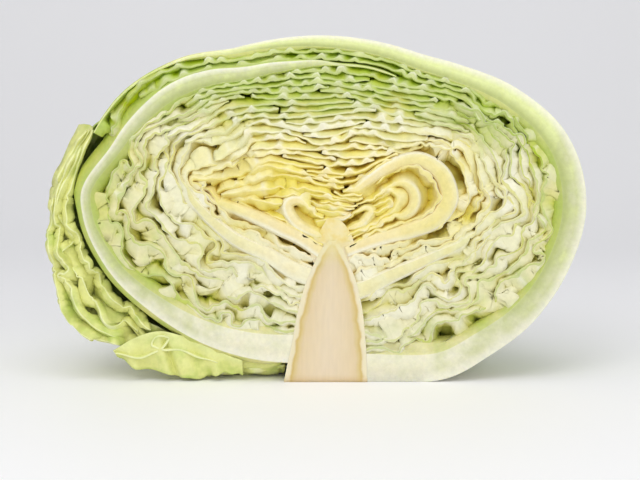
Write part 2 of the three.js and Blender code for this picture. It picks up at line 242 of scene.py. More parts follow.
PACKED = [[
    leaf("outer_leaf_right", 1, 163, 13, 1.2, rib_to=118, rib=RIB_RIGHT),
    leaf("leaf_right_1", 1, 162, 2.4, 1.0, 0.9),
    leaf("leaf_right_2", 1, 150, 2.0, 1.0, 0.9),
    leaf("outer_leaf_left", -1, 62, 13, 1.2, rib_to=84, rib=RIB_LEFT),
    leaf("leaf_right_3", 1, 104, 2.6, 1.05),
    leaf("leaf_left_1", -1, 76, 2.6, 1.0, 1.1),
    leaf("leaf_right_4", 1, 70, 2.8, 1.05),
    leaf("leaf_across_1", 0, 142, 1, 1.0, start=48),
    leaf("leaf_left_2", -1, 98, 3.0, 1.1),
    leaf("leaf_right_5", 1, 90, 2.6, 1.05),
    leaf("leaf_left_8", -1, 132, 2.6, 1.1),
    leaf("leaf_left_3", -1, 140, 2.4, 1.05),
    leaf("leaf_across_2", 0, 120, 1, 1.0, start=34),
    leaf("leaf_left_4", -1, 84, 3.0, 1.1),
    leaf("leaf_right_6", 1, 44, 2.6, 1.05),
    leaf("leaf_across_6", 0, 112, 1, 1.0, start=30),
    leaf("leaf_left_5", -1, 120, 2.4, 1.1),
    leaf("leaf_across_7", 0, 152, 1, 1.0, start=70),
], [
    leaf("leaf_right_7", 1, 110, 7, 1.3, rib_to=-8),
    leaf("leaf_left_6", -1, 70, 7.5, 1.4, rib_to=168),
    leaf("leaf_right_8", 1, 96, 2.2, 1.0),
    leaf("leaf_across_3", 0, 150, 1, 1.0, start=40),
    leaf("leaf_right_9", 1, 62, 2.2, 1.0),
    leaf("leaf_left_7", -1, 118, 2.2, 1.0),
    leaf("leaf_across_4", 0, 140, 1, 1.0, start=52),
    leaf("leaf_left_9", -1, 96, 2.0, 1.0),
    leaf("leaf_right_10", 1, 80, 2.0, 1.0),
    leaf("leaf_across_5", 0, 128, 1, 1.0, start=48),
]]


def span(one):
    if one["side"] == 0:
        return one["start"], one["to"]
    return (FIRST_ANGLE, one["to"]) if one["side"] > 0 else (one["to"], LAST_ANGLE)


def thickness(one, angle, depth):
    """The rib runs in the cut face and thins towards the tip and sideways, into the blade."""
    if one["side"] == 0:
        return np.full(np.shape(angle), one["blade"])
    thin = np.exp(-((depth / RIB_DEPTH) ** 2))
    if one["rib"] is not None:
        return one["blade"] + (through(one["rib"], angle) - one["blade"]) * thin
    base = FIRST_ANGLE if one["side"] > 0 else LAST_ANGLE
    rib_to = base + one["side"] * 75 if one["rib_to"] is None else one["rib_to"]
    run = np.clip((angle - base) / (rib_to - base), 0, 1)
    return one["blade"] + (one["stalk"] - one["blade"]) * (1 - run) ** 0.7 * thin


def presence(one, angle):
    first, last = span(one)
    return smooth(first - TIP_FADE, first, angle) * (1 - smooth(last, last + TIP_FADE, angle))


def leaf_on_rays(shell, k, angle, depth):
    """How far out the middle of leaf k of a shell lies on some rays, its thickness, and its level,
    which is 0 on the outside of the head and rises by 1 from shell to shell."""
    leaves = PACKED[shell]
    outside = head_distance(angle, depth) if shell == 0 else shell_distance(shell, angle, depth)
    inside = shell_distance(shell + 1, angle, depth)
    thick = [thickness(one, angle, depth) for one in leaves]
    asks = [(t + ROOM) * presence(one, angle) for one, t in zip(leaves, thick)]
    scale = (outside - inside) / np.maximum(sum(asks), 1)
    middle = outside - (sum(asks[:k]) + asks[k] / 2) * scale
    if leaves[k]["name"] == "outer_leaf_right":
        middle = outside - thick[k] / 2
    return middle, thick[k], shell + (outside - middle) / (outside - inside)


def leaf_in_plane(shell, k, angle, behind):
    """The same in the upright plane `behind` mm behind the knife: distance from the axis there."""
    depth = np.zeros(np.shape(angle))
    for _ in range(12):
        reach, thick, level = leaf_on_rays(shell, k, angle, depth)
        depth = mix(depth, np.arcsin(np.clip(behind / reach, 0, 0.95)) / DEG, 0.6)
    return reach * np.cos(depth * DEG), thick, level, depth


print(sum(len(leaves) for leaves in PACKED), "packed leaves in", len(PACKED), "shells")

# %% [markdown]
# ## The heart
#
# The youngest leaves are curled, folded and hooked over the growing tip in a way that no rule gives, so
# each one follows a line of points through the cut, from its base outwards: [across, up] in mm from the
# heart point. Thick, short ribs hold most of them in shape, so only the blades beyond `stiff` points
# crumple. A leaf that is folded over meets the knife twice and gets two lines.

# %% The lines of the heart leaves
def heart_line(name, points, thick, crumple=1.0, stiff=99):
    return dict(name=name, points=np.array(points, float), thick=thick, crumple=crumple, stiff=stiff)


HEART_LINES = [heart_line(*line) for line in [
    ("heart_leaf_right_1",
     [[8, -21], [15, -18], [23.5, -15], [36.5, -11.5], [45.5, -8], [50.5, -3.5], [53.5, 3],
      [51.5, 11], [47, 16.5], [40, 20], [32, 19], [24.5, 15.5], [18, 11], [12.5, 7], [6.5, 6]],
     [4.2, 4.6, 5, 5.5, 6, 6.4, 6.5, 6, 5.3, 4.5, 4.2, 4, 3.5, 2.6, 1.2]),
    ("heart_leaf_left_1",
     [[-2, -22], [-12, -15], [-21.5, -10.5], [-31, -6], [-40.5, -2], [-50, 1.5], [-54.5, 4],
      [-57, 7], [-54, 11], [-47.5, 13], [-38.5, 14.5], [-29, 16], [-19, 17], [-8, 17]],
     [4.6, 5, 4.8, 4.2, 3.2, 2.2, 1.6, 1.2, 1, 1, 1, 1, 1, 1], 1.35, 5),
    ("heart_leaf_right_2",
     [[9.5, -18.5], [16.5, -15.5], [26.5, -11], [37, -7.5], [45, -4], [48, 1.5], [47.5, 7.5],
      [43.5, 12], [37.5, 14.5], [31, 14.5], [25, 12], [19.5, 8], [13, 4.5], [7.5, 3.5]],
     [1.6, 1.4, 1.2, 1, 1, 1, 1, 1, 1, 1, 1, 1, 1, 1], 1.3, 1),
    ("heart_leaf_right_3",
     [[9, -16], [18.5, -11], [28, -6], [33.5, -4.5], [37, -2], [38.5, 2], [37.5, 6], [34.5, 9],
      [30, 9], [24.5, 6.5], [18.5, 2.5], [12.5, 0]],
     [1.2, 1.5, 2, 2.6, 3, 3.2, 3, 2.6, 2.2, 1.6, 1.2, 1]),
    ("heart_leaf_right_4",
     [[8.5, -14], [16, -10.5], [23, -6.5], [28, -3.5], [31, 0], [31, 4], [28, 6], [24, 4],
      [19, 1], [13, -1.5]],
     [1, 1.2, 1.4, 1.7, 2, 2, 1.7, 1.3, 1, 0.9]),
    ("heart_leaf_right_4",
     [[19.5, -4], [25.5, -2.5], [28, 0.5], [26.5, 2.5], [22.5, 1], [18.5, -1]],
     [1, 1.2, 1.2, 1.2, 1, 0.9]),
    ("heart_leaf_right_3",
     [[6.5, -11.5], [10.5, -10.5], [15, -8], [18, -5], [19, -2.5], [16.5, -1], [13, -2.5],
      [9.5, -5.5], [6, -7.5]],
     [2, 2.4, 2.6, 2.6, 2.5, 2.3, 1.8, 1.2, 0.9]),
    ("heart_leaf_left_3",
     [[-0.5, -15], [-7.5, -12], [-13, -9], [-16.5, -5], [-18, -1], [-16.5, 1.5], [-13, 2],
      [-9.5, 0], [-6, -3.5], [-2, -6]],
     [2, 3, 3.4, 3.5, 3.5, 3.4, 3.0, 2.2, 1.5, 1.0]),
    ("heart_leaf_left_2",
     [[-2.5, -18.5], [-11, -13], [-18.5, -9], [-26.5, -5], [-33.5, -2], [-38.5, 0], [-40.5, 2],
      [-37.5, 3.5], [-31.5, 3], [-25.5, 1.5], [-20.5, 0]],
     [1.4, 1.2, 1.1, 1, 1, 1, 1, 1, 1, 1, 1], 1.3, 1),
    ("heart_leaf_left_1",
     [[4.5, 9], [-3.5, 11], [-12.5, 11.5], [-21, 11.5], [-29, 10.5], [-37, 9], [-45, 7.5]],
     [1] * 7, 1.35, -1),
    ("heart_leaf_left_2",
     [[10.5, 2], [4.5, 4], [-2.5, 6], [-10, 7], [-18.5, 7.5], [-26.5, 6.5], [-34.5, 5.5], [-42, 5]],
     [0.9] * 8, 1.45, -1),
    ("heart_leaf_left_2",
     [[9, 0], [3.5, 2], [-2.5, 3.5], [-9, 4], [-16.5, 5], [-24, 4]], [0.8] * 6, 1.5, -1),
    ("heart_leaf_left_3", [[9.5, -2.5], [4.5, 0], [-1, 1], [-6, 1.5]], [0.8] * 4, 1.4, -1),
    ("heart_leaf_right_4", [[6, -4], [2, -2], [-2.5, -1.5], [-6, -1.5]], [0.8] * 4, 1.4, -1),
    ("heart_leaf_left_1",
     [[2, 12.6], [-6, 13.4], [-16, 14.2], [-26, 13.6], [-36, 12]], [0.9] * 5, 1.4, -1),
    ("heart_leaf_right_2", [[22, 18], [15.5, 14], [8.5, 11], [1, 10.4]], [0.9] * 4, 1.4, -1),
    ("heart_leaf_right_2",
     [[26, 20.5], [18.5, 17.5], [11, 14.8], [4, 14.4], [-4, 15.6]], [0.9] * 5, 1.4, -1),
    ("heart_leaf_right_4", [[9, -4.5], [3, -4.2], [-3, -4.4]], [0.8] * 3, 1.5, -1),
    ("heart_leaf_left_3", [[8, -7], [3, -6.4], [-3, -7]], [0.8] * 3, 1.5, -1),
]]
print(len(HEART_LINES), "lines for", len({line["name"] for line in HEART_LINES}), "heart leaves")

# %% [markdown]
# ## Growing the crinkles
#
# Crinkles are what a growing sheet does in a space that is too small. Drawn by a rule they look like
# waves, so here they are grown. Each leaf is a chain of points in a few upright planes behind the knife.
# The links of a chain get longer step by step, a chain resists sharp bends, and no two chains may come
# closer than their thickness, so a blade folds until its space is full, as in the head. Thick ribs stay
# where they are. A slow noise nudges neighbours the same way at the start, so their folds nest.

# %% Where on the head a point lies, and how much it crumples there
PLANES = np.array([0.0, 2.5, 6.0, 11.0, 18.0])  # mm behind the knife
LINK = 1.0  # mm, the length of a grown link
MOST_CRUMPLED = 2.3  # how many times longer than its room a blade grows at the sides of the head
LEAST_CRUMPLED = 1.3  # the same under the crown


def round_the_heart(points):
    """Angles of plane points round the heart, from -90, straight down, by way of the right to 270."""
    angle = np.degrees(np.arctan2(points[..., 1], points[..., 0]))
    return np.where(angle < -90, angle + 360, angle)


def crown_share(angle, right=(22, 52)):
    """1 under the crown of the head, where leaves lie flat, and 0 at its sides."""
    return smooth(*right, angle) * (1 - smooth(128, 158, angle))


def crumple_room(angle, amount):
    return 1 + (mix(MOST_CRUMPLED, LEAST_CRUMPLED, crown_share(angle)) - 1) * amount


print("share of the crown at 0, 45 and 90 degrees:", crown_share(np.array([0, 45, 90])).round(2))


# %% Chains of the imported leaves
def even_links(line, crumple):
    """Places along a line, by its index, that will be LINK apart once it has grown."""
    length = np.hypot(*np.diff(line, axis=0).T) * (crumple[1:] + crumple[:-1]) / 2
    passed = np.r_[0, np.cumsum(length)]
    count = max(4, int(passed[-1] / LINK) + 1)
    return np.interp(np.linspace(0, passed[-1], count), passed, np.arange(len(line)))


def packed_chain(shell, k):
    one = PACKED[shell][k]
    first, last = span(one)
    angle = np.linspace(first, last, 1500)
    reach, thick, _, _ = leaf_in_plane(shell, k, angle, 0.0)
    line = reach[:, None] * ray(angle)
    near_base = np.full(len(angle), 99.0)
    if one["side"]:
        near_base = np.abs(angle - (FIRST_ANGLE if one["side"] > 0 else LAST_ANGLE))
    crumple = 1 + (crumple_room(angle, one["crumple"]) - 1) * smooth(3, 24, near_base)
    if one["name"] in ("leaf_right_1", "leaf_right_2"):
        crumple = mix(crumple, 1.05, smooth(112, 132, angle))
    stiff = thick > 2.2 if one["rib_to"] is not None else near_base < 3
    stiff = stiff | one["name"].startswith("outer")
    crumple = np.where(stiff, 1.0, crumple)
    at = even_links(line, crumple)
    if one["side"] < 0:
        at = at[::-1]
    angles = np.interp(at, np.arange(len(angle)), angle)
    rows = [leaf_in_plane(shell, k, angles, behind) for behind in PLANES]
    return dict(
        name=one["name"],
        points=np.array([r[0][:, None] * ray(angles) for r in rows]),
        thick=np.array([r[1] for r in rows]),
        level=rows[0][2],
        crumple=np.interp(at, np.arange(len(angle)), crumple),
        stiff=np.interp(at, np.arange(len(angle)), stiff.astype(float)) > 0.5,
        angles=angles,
        shell=(shell, k),
    )


chains = [packed_chain(shell, k) for shell in (0, 1) for k in range(len(PACKED[shell]))]
print(len(chains), "chains of packed leaves")

# %% Chains of the heart leaves
HEART_BACK = 45.0  # how far back the heart's dome reaches
HEART_RIB = 7.0  # mm behind the knife over which a heart rib thins into its blade


def heart_chain(line):
    stations = np.arange(len(line["points"]))
    fine, curve = curve_through(line["points"], 600)
    stiff = fine <= line["stiff"]
    crumple = np.where(stiff, 1.0, line["crumple"])
    at = even_links(curve, crumple)
    places = np.interp(at, np.arange(600), fine)
    points = np.stack([np.interp(at, np.arange(600), curve[:, axis]) for axis in (0, 1)], -1)
    thick = np.interp(places, stations, line["thick"])
    shrink = (1 - (PLANES / HEART_BACK) ** POWER) ** (1 / POWER)
    thin = np.exp(-((PLANES / HEART_RIB) ** 2))[:, None]
    return dict(
        name=line["name"],
        points=points[None] * shrink[:, None, None],
        thick=np.minimum(thick, 0.9) + np.maximum(thick - 0.9, 0) * thin,
        level=np.full(len(at), 2.5),
        crumple=np.interp(places, stations, np.where(stations <= line["stiff"], 1.0, line["crumple"])),
        stiff=places <= line["stiff"],
        angles=None,
        shell=None,
    )


chains += [heart_chain(line) for line in HEART_LINES]
print(len(HEART_LINES), "chains of heart leaves")

# %% [markdown]
# ## The loose frilled leaves
#
# Two older leaves have come loose on the left and stand away from the head. Their margins have grown far
# longer than their middles, so they hang in frills. Each has a room to fill, from the head's outside to
# a line that is widest low on the left, and two or four chains share that room as layers of the frill.

# %% Chains of the frilled leaves
FRILLS = [
    dict(name="frilled_leaf_left", angles=(163, 213), crumple=2.8, depths=[0, 7, 16, 30],
         clear=[0.9, 5, 12.5, 13.5], layers=[0.06, 0.36, 0.66, 0.94],
         reach=[[158, 1.5], [163, 3], [167, 5], [174, 7], [182, 10.5], [190, 18], [198, 23], [206, 28],
                [214, 20]]),
    dict(name="frilled_leaf_foot", angles=(216, 254), crumple=2.2, depths=[0, 7, 13, 20],
         clear=[0.9, 8, 11, 12], layers=[0.08, 0.6],
         reach=[[216, 22], [226, 19], [236, 13], [246, 7], [254, 3.5]]),
]
FRILL_SPREAD = [1, 0.8, 0.4, 0.12]  # what is left of the frill at each of its depths


def frill_room(frill, angle, behind):
    """How far from the heart the room of a frill starts and ends, in an upright plane."""
    depth = np.zeros(len(angle))
    for _ in range(8):
        head = head_distance(angle, depth)
        depth = mix(depth, np.arcsin(np.clip(behind / head, 0, 0.95)) / DEG, 0.6)
    clear = through(np.c_[frill["depths"], frill["clear"]], depth)
    spread = through(np.c_[frill["depths"], FRILL_SPREAD], depth)
    stands = np.maximum(0, through(frill["reach"], angle) - clear) * spread
    floor = floor_distance(angle, depth, 2.0)
    near = np.minimum(head + clear, floor - 0.5)
    far = np.minimum(head + clear + stands, floor)
    return near * np.cos(depth * DEG), far * np.cos(depth * DEG)


def frill_chain(frill, share):
    first, last = frill["angles"]
    angle = np.linspace(first, last, 800)
    near, far = frill_room(frill, angle, 0.0)
    line = mix(near, far, share)[:, None] * ray(angle)
    roomy = smooth(3, 15, far - near)
    crumple = 1 + (frill["crumple"] - 1) * roomy
    at = even_links(line, crumple)
    angles = np.interp(at, np.arange(len(angle)), angle)
    rows = [frill_room(frill, angles, behind) for behind in PLANES]
    return dict(
        name=frill["name"],
        points=np.array([mix(near, far, share)[:, None] * ray(angles) for near, far in rows]),
        thick=np.full((len(PLANES), len(at)), 0.75),
        level=np.full(len(at), -1.0),
        crumple=np.interp(at, np.arange(len(crumple)), crumple),
        stiff=np.zeros(len(at), bool),
        angles=angles,
        shell=None,
        share=share,
    )


chains += [frill_chain(frill, share) for frill in FRILLS for share in frill["layers"]]
print(sum(len(frill["layers"]) for frill in FRILLS), "chains of frilled leaves")

# %% Uneven blades
CROWDED = np.array([1.0, 1.1, 1.2, 1.2, 1.2])  # how much thicker a blade packs in each plane


def uneven_blades():
    """A knife meets a crumpled blade at a slant here and there, and crosses its veins, so the cut edge
    is two or three times as thick in places. Thicker blades further in close the gaps."""
    swell, veins = Noise(21, (8, 9, 8)), Noise(22, (5, 12, 5))
    for chain in chains:
        x, z = chain["points"][..., 0], chain["points"][..., 1]
        shift = 37.0 * (1 + sum(map(ord, chain["name"])) % 11)
        place = np.stack([x + shift, np.repeat(PLANES[:, None], x.shape[1], 1), z], -1)
        crown = crown_share(round_the_heart(chain["points"][0]))
        inner = 1 - smooth(14, 40, np.hypot(x[0], z[0]))
        much = mix(1.3, 0.5, crown) * mix(1, 0.3, inner)
        lump = np.maximum(swell(place), 0) * 0.9 + np.maximum(veins(place) - 0.6, 0) * 0.8
        blade = chain["thick"] * (1 + much * lump) * mix(CROWDED[:, None], 1, 0.6 * inner)
        blade = np.minimum(blade, 2.7)
        soft = (chain["thick"] < 2.2) & ~chain["stiff"]
        chain["thick"] = np.where(soft, blade, chain["thick"])


uneven_blades()
print(len(chains), "chains with", sum(len(c["stiff"]) for c in chains), "points in each plane")

# %% [markdown]
# ## What the blades grow against
#
# A growing blade is stopped by what doesn't give: the skins of the thick ribs, the flanks of the stem
# and, for the frills, the edges of their room. Real solids could be used, but rows of fixed points are
# simpler, because the same rule then keeps a blade off its neighbours and off these.

# %% Fixed obstacles
SKIN = 1.1  # mm, an obstacle point keeps others this far away
STIFF_THICKNESS = 2.3  # mm, a rib thicker than this doesn't move
STEM_FLANK = 12.8  # degrees that each flank of the stem leans in


def sideways(points):
    """Unit normals of chains of points in their planes."""
    run = np.gradient(points, axis=-2)
    return unit(np.stack([-run[..., 1], run[..., 0]], -1))


obstacles = []
for chain in chains:
    thick_part = chain["stiff"] & (chain["thick"][0] > STIFF_THICKNESS)
    if thick_part.sum() < 2:
        continue
    half = np.maximum(chain["thick"] / 2 - 0.55, 0)[..., None]
    for side in (-1, 1):
        obstacles.append((chain["points"] + side * half * sideways(chain["points"]))[:, thick_part])
for side in (-1, 1):
    height = np.arange(0, 60, 0.8)
    flank = np.tan(STEM_FLANK * DEG) * (HEART[2] - height) - 0.7
    line = np.c_[side * flank, height - HEART[2]]
    obstacles.append(np.repeat(line[None], len(PLANES), axis=0))
for frill in FRILLS:
    angle = np.arange(frill["angles"][0] - 2, frill["angles"][1] + 2, 0.45)
    rows = [frill_room(frill, angle, behind) for behind in PLANES]
    obstacles.append(np.array([(far + 1.2)[:, None] * ray(angle) for near, far in rows]))
    obstacles.append(np.array([(near - 1.5)[:, None] * ray(angle) for near, far in rows]))
obstacles = np.concatenate(obstacles, axis=1)
print(obstacles.shape[1], "obstacle points in each plane")

# %% Put all chains in one table
start = np.cumsum([0] + [len(c["stiff"]) for c in chains])
planned = np.concatenate([c["points"] for c in chains], axis=1)
thick = np.concatenate([c["thick"] for c in chains], axis=1)
crumple = np.concatenate([c["crumple"] for c in chains])
stiff = np.concatenate([c["stiff"] for c in chains])
chain_of = np.concatenate([np.full(len(c["stiff"]), i) for i, c in enumerate(chains)])
index_in_chain = np.concatenate([np.arange(len(c["stiff"])) for c in chains])
linked = chain_of[1:] == chain_of[:-1]
free_count, all_count = len(stiff), len(stiff) + obstacles.shape[1]
chain_all = np.r_[chain_of, np.full(obstacles.shape[1], -1)]
index_all = np.r_[index_in_chain, np.zeros(obstacles.shape[1], int)]
planned_angle = round_the_heart(planned[0])
print(free_count, "points that may move and", all_count - free_count, "that may not, in each plane")


# %% [markdown]
# ## Letting them grow
#
# Testing every point against every other would take hours, so points are first sorted into square cells
# and only neighbouring cells are compared. Each step then does four things: it stretches the links, takes
# out sharp bends, lets each plane follow the next one a little, and pushes apart what comes too close.

# %% Find the points that are near each other
def near_pairs(points, reach):
    """Pairs of points of the same plane within `reach` of each other, found on a grid of cells."""
    planes, count, _ = points.shape
    cell = np.floor((points + 200) / reach).astype(np.int64)
    width = int(400 / reach) + 3
    key = ((np.arange(planes)[:, None] * width + cell[..., 1]) * width + cell[..., 0]).ravel()
    order = np.argsort(key, kind="stable")
    key = key[order]
    first, second = [], []
    for offset in (0, 1, width - 1, width, width + 1):
        end = np.searchsorted(key, key + offset, side="right")
        begin = np.arange(len(key)) + 1 if offset == 0 else np.searchsorted(key, key + offset, side="left")
        number = np.maximum(end - begin, 0)
        a = np.repeat(np.arange(len(key)), number)
        b = np.arange(number.sum()) - np.repeat(np.cumsum(number) - number, number) + np.repeat(begin, number)
        first.append(order[a])
        second.append(order[b])
    first, second = np.concatenate(first), np.concatenate(second)
    flat = points.reshape(-1, 2)
    apart = flat[first] - flat[second]
    near = (apart * apart).sum(1) < reach * reach
    return first[near], second[near]


first, second = near_pairs(planned, 2.0)
print(len(first), "pairs of points lie within 2 mm before the blades grow")

# %% The first nudge
NUDGE = 2.2  # mm, how far the noise pushes a blade before it grows


def first_nudge(points):
    """Push the free points off their smooth lines, in step with their neighbours."""
    crown = crown_share(planned_angle)
    clearance = np.full(free_count, 99.0)
    for k in range(0, free_count, 1000):
        apart = planned[0, k:k + 1000, None] - obstacles[0][None, ::2]
        clearance[k:k + 1000] = np.sqrt((apart * apart).sum(-1).min(1))
    outward = smooth(12, 30, np.hypot(*planned[0].T))
    size = mix(1, 0.35, crown) * smooth(0.8, 5.5, clearance) * mix(0.25, 1, outward) * ~stiff
    place = np.stack([planned[..., 0], np.repeat(PLANES[:, None], free_count, 1), planned[..., 1]], -1)
    own_place = place + (chain_of * 53.0)[None, :, None]
    wide, narrow = Noise(3, (14, 10, 14), 2), Noise(4, (8, 7, 8), 2)
    points[:, :free_count] += (wide(place) + 0.7 * narrow(own_place)) * (NUDGE * size)[None, :, None]


points = np.concatenate([planned, obstacles], axis=1)
first_nudge(points)
nudge = np.abs(points[:, :free_count] - planned).max()
print("the nudge moved the blades by up to", round(float(nudge), 1), "mm")


# %% How long the links may grow
UNEVEN_GROWTH = 16.0  # mm along a blade, from where it grows much to where it grows little


def wander(random, count, wave):
    """Smooth random numbers along a chain."""
    knots = random.normal(size=int(count * LINK / wave * 2) + 4)
    x = np.arange(count) * LINK / wave * 2 + random.uniform()
    k = np.clip(np.floor(x).astype(int), 0, len(knots) - 2)
    return mix(knots[k], knots[k + 1], smooth(0, 1, x - k))


def growth(random):
    """How many times its planned length each part of a chain grows to, in each plane."""
    room = np.ones((len(PLANES), free_count))
    for i in range(len(chains)):
        part = slice(start[i], start[i + 1])
        uneven = wander(random, start[i + 1] - start[i], UNEVEN_GROWTH)
        for j in range(len(PLANES)):
            uneven = 0.85 * uneven + 0.5 * wander(random, start[i + 1] - start[i], UNEVEN_GROWTH)
            room[j, part] = 1 + (crumple[part] - 1) * np.clip(1 + 0.7 * uneven, 0.05, 2.6)
    return room


growth_random = np.random.default_rng(11)
room = growth(growth_random)
print("a blade grows", round(float(room[:, ~stiff].mean()), 2), "times as long as its room, on average")


# %% The four moves of a step
def stretch(points, length, loose):
    """Pull or push the ends of each link until the link has its length. Every other link goes first."""
    every_other = [np.arange(s, free_count - 1, 2) for s in (0, 1)]
    every_other = [ids[linked[ids]] for ids in every_other]
    for ids in every_other + every_other:
        run = points[:, ids + 1] - points[:, ids]
        now = np.sqrt((run * run).sum(-1)) + 1e-9
        total = np.maximum(loose[ids] + loose[ids + 1], 1e-9)
        shift = (0.8 * (now - length[:, ids]) / now)[..., None] * run
        points[:, ids] += shift * (loose[ids] / total)[None, :, None]
        points[:, ids + 1] -= shift * (loose[ids + 1] / total)[None, :, None]


def bend_rules(firm):
    """For bends over 1, 2, 4 and 8 links: their middle points, and how strongly each straightens."""
    rules = []
    for reach, strength in ((1, 0.5), (2, 0.35), (4, 0.1), (8, 0.012)):
        middle = np.arange(reach, free_count - reach)
        middle = middle[chain_of[middle - reach] == chain_of[middle + reach]]
        rules.append((reach, middle, np.clip(strength * (firm[middle] / 1.3) ** 2, 0.02, 0.8)))
    return rules


def straighten(points, rules, loose):
    for reach, middle, strength in rules:
        bend = (points[:, middle - reach] + points[:, middle + reach]) / 2 - points[:, middle]
        bend *= strength[None, :, None]
        points[:, middle] += 0.5 * bend * loose[middle][None, :, None]
        points[:, middle - reach] -= 0.25 * bend * loose[middle - reach][None, :, None]
        points[:, middle + reach] -= 0.25 * bend * loose[middle + reach][None, :, None]


PASS_ON = 0.02  # how much a plane follows the next one


def follow_the_next_plane(points, nudged, loose):
    moved = points[:, :free_count] - nudged
    follow = (moved[1:] - moved[:-1]) * PASS_ON * loose[:free_count][None, :, None]
    points[:-1, :free_count] += follow
    points[1:, :free_count] -= follow


def push_apart(points, first, second, least, fixed):
    """Points that are too close share the push, or the loose one takes it."""
    flat = points.reshape(-1, 2)
    apart = flat[second] - flat[first]
    square = (apart * apart).sum(1)
    hit = square < least * least
    first, second = first[hit], second[hit]
    give_first, give_second = [(~fixed[ids % all_count]).astype(float) for ids in (first, second)]
    give = give_first + give_second
    distance = np.sqrt(square[hit]) + 1e-9
    push = (0.5 * (least[hit] - distance) / distance)[:, None] * apart[hit]
    for axis in (0, 1):
        shift = np.bincount(second, push[:, axis] * give_second / give, len(flat))
        shift -= np.bincount(first, push[:, axis] * give_first / give, len(flat))
        flat[:, axis] += np.clip(shift, -0.25, 0.25)


print("bends are taken out over", [rule[0] for rule in bend_rules(np.ones(free_count))], "links")

# %% Who may touch whom
def close_pairs(points, fixed, keep_off):
    """Pairs of points that may soon touch, and how far apart each pair has to stay."""
    first, second = near_pairs(points, 3.3)
    a, b = first % all_count, second % all_count
    keep = ~(fixed[a] & fixed[b]) & (keep_off[first] > 0) & (keep_off[second] > 0)
    keep &= ~((chain_all[a] == chain_all[b]) & (np.abs(index_all[a] - index_all[b]) < 4))
    first, second = first[keep], second[keep]
    return first, second, (keep_off[first] + keep_off[second]) / 2


def more_where_roomy(points, first, second, least, more):
    """A blade that touches fewer than two others grows on, until its space is full."""
    flat = points.reshape(-1, 2)
    apart = flat[first] - flat[second]
    close = (apart * apart).sum(1) < (least + 0.35) ** 2
    touched = np.bincount(first[close], minlength=len(flat))
    touched = touched + np.bincount(second[close], minlength=len(flat))
    roomy = (touched.reshape(-1, all_count)[:, :free_count] < 2).astype(float)
    roomy[:, 1:-1] = (roomy[:, :-2] + roomy[:, 1:-1] + roomy[:, 2:]) / 3
    return np.minimum(more * np.where(crumple > 1.05, 1 + 0.02 * roomy, 1.0), 1.2)


# %% Grow
GROW_STEPS = 300


def grow(points, random, steps):
    nudged = points[:, :free_count].copy()
    link_length = np.linalg.norm(np.diff(planned, axis=1), axis=2)
    link_room = (room[:, 1:] + room[:, :-1]) / 2
    more = np.ones((len(PLANES), free_count))
    fixed = np.r_[stiff, np.ones(obstacles.shape[1], bool)]
    loose = np.where(fixed, 0.0, 1.0)
    keep_off = np.where(stiff & (thick > STIFF_THICKNESS), 0.0, np.minimum(thick, 2.7) + 0.12)
    keep_off = np.concatenate([keep_off, np.full((len(PLANES), obstacles.shape[1]), SKIN)], axis=1).ravel()
    frilly = np.array([c["name"].startswith("frilled") for c in chains])[chain_of]
    temper = random.uniform(0.7, 1.4, len(chains))[chain_of]
    rules = bend_rules(np.where(frilly, 1.0, np.clip(thick[0], 0.9, 1.5)) * temper)
    for step in range(steps):
        if step % 6 == 0:
            first, second, least = close_pairs(points, fixed, keep_off)
            if 0.3 * steps < step < 0.9 * steps:
                more = more_where_roomy(points, first, second, least, more)
        so_far = min(1.0, step / (0.7 * steps))
        length = link_length * (1 + (link_room * (more[:, 1:] + more[:, :-1]) / 2 - 1) * so_far)
        stretch(points, length, loose)
        straighten(points, rules, loose)
        follow_the_next_plane(points, nudged, loose)
        push_apart(points, first, second, least, fixed)
    return points[:, :free_count]


grown = grow(points, growth_random, GROW_STEPS)
both_linked = np.r_[False, linked[1:] & linked[:-1], False] & ~stiff
for _ in range(2):
    softer = grown.copy()
    softer[:, 1:-1] = (grown[:, :-2] + 2 * grown[:, 1:-1] + grown[:, 2:]) / 4
    grown = np.where(both_linked[None, :, None], softer, grown)
moved = np.linalg.norm(grown - planned, axis=-1)
print("the crinkles moved the blades by", round(float(np.median(moved[:, ~stiff])), 1), "mm")

# %% [markdown]
# ## From chains to leaves
#
# The grown chains are sections through each leaf. A few more rows are laid between them, and further
# back, out of sight, the crinkles fade into a smooth leaf. In the real head nothing is hollow behind the
# knife: a crinkled blade swings sideways until it lies against the next one. So each blade is told how
# much room it has on either side, keeps its true edge in the cut, and spreads into that room behind it.
# The room is an estimate: out of sight, neighbours overlap by a millimetre or two, and more in the heart.

# %% Rows of a leaf, from the knife backwards
ROWS = np.array([0.0, 1.1, 2.3, 4.0, 6.0, 8.4, 11.0, 14.4, 18.0])
SET_BACK = 0.15  # mm, from the stem's cut face to the nearest leaf edge, so a leaf never covers the stem


def between_planes(values):
    """The values of the planes, smoothly carried over to ROWS."""
    flat = values.reshape(len(PLANES), -1)
    slope = np.gradient(flat, PLANES, axis=0)
    k = np.clip(np.searchsorted(PLANES, ROWS, side="right") - 1, 0, len(PLANES) - 2)
    width = (PLANES[k + 1] - PLANES[k])[:, None]
    t = (ROWS - PLANES[k])[:, None] / width
    rows = bridge(t, width, flat[k], flat[k + 1], slope[k], slope[k + 1])
    return rows.reshape((len(ROWS),) + values.shape[1:])


def in_space(plane_points, behind):
    """Points of upright planes as points in space, in mm."""
    behind = np.broadcast_to(np.asarray(behind, float), plane_points.shape[:-1])
    return np.stack([plane_points[..., 0], CUT_Y + behind, HEART[2] + plane_points[..., 1]], -1)


def on_rays(angle, depth, reach):
    level = np.cos(depth * DEG)
    direction = [np.cos(angle * DEG) * level, np.sin(depth * DEG), np.sin(angle * DEG) * level]
    return HEART + reach[:, None] * np.stack(direction, -1)


print(len(ROWS), "rows over the front", int(ROWS[-1]), "mm of a leaf")


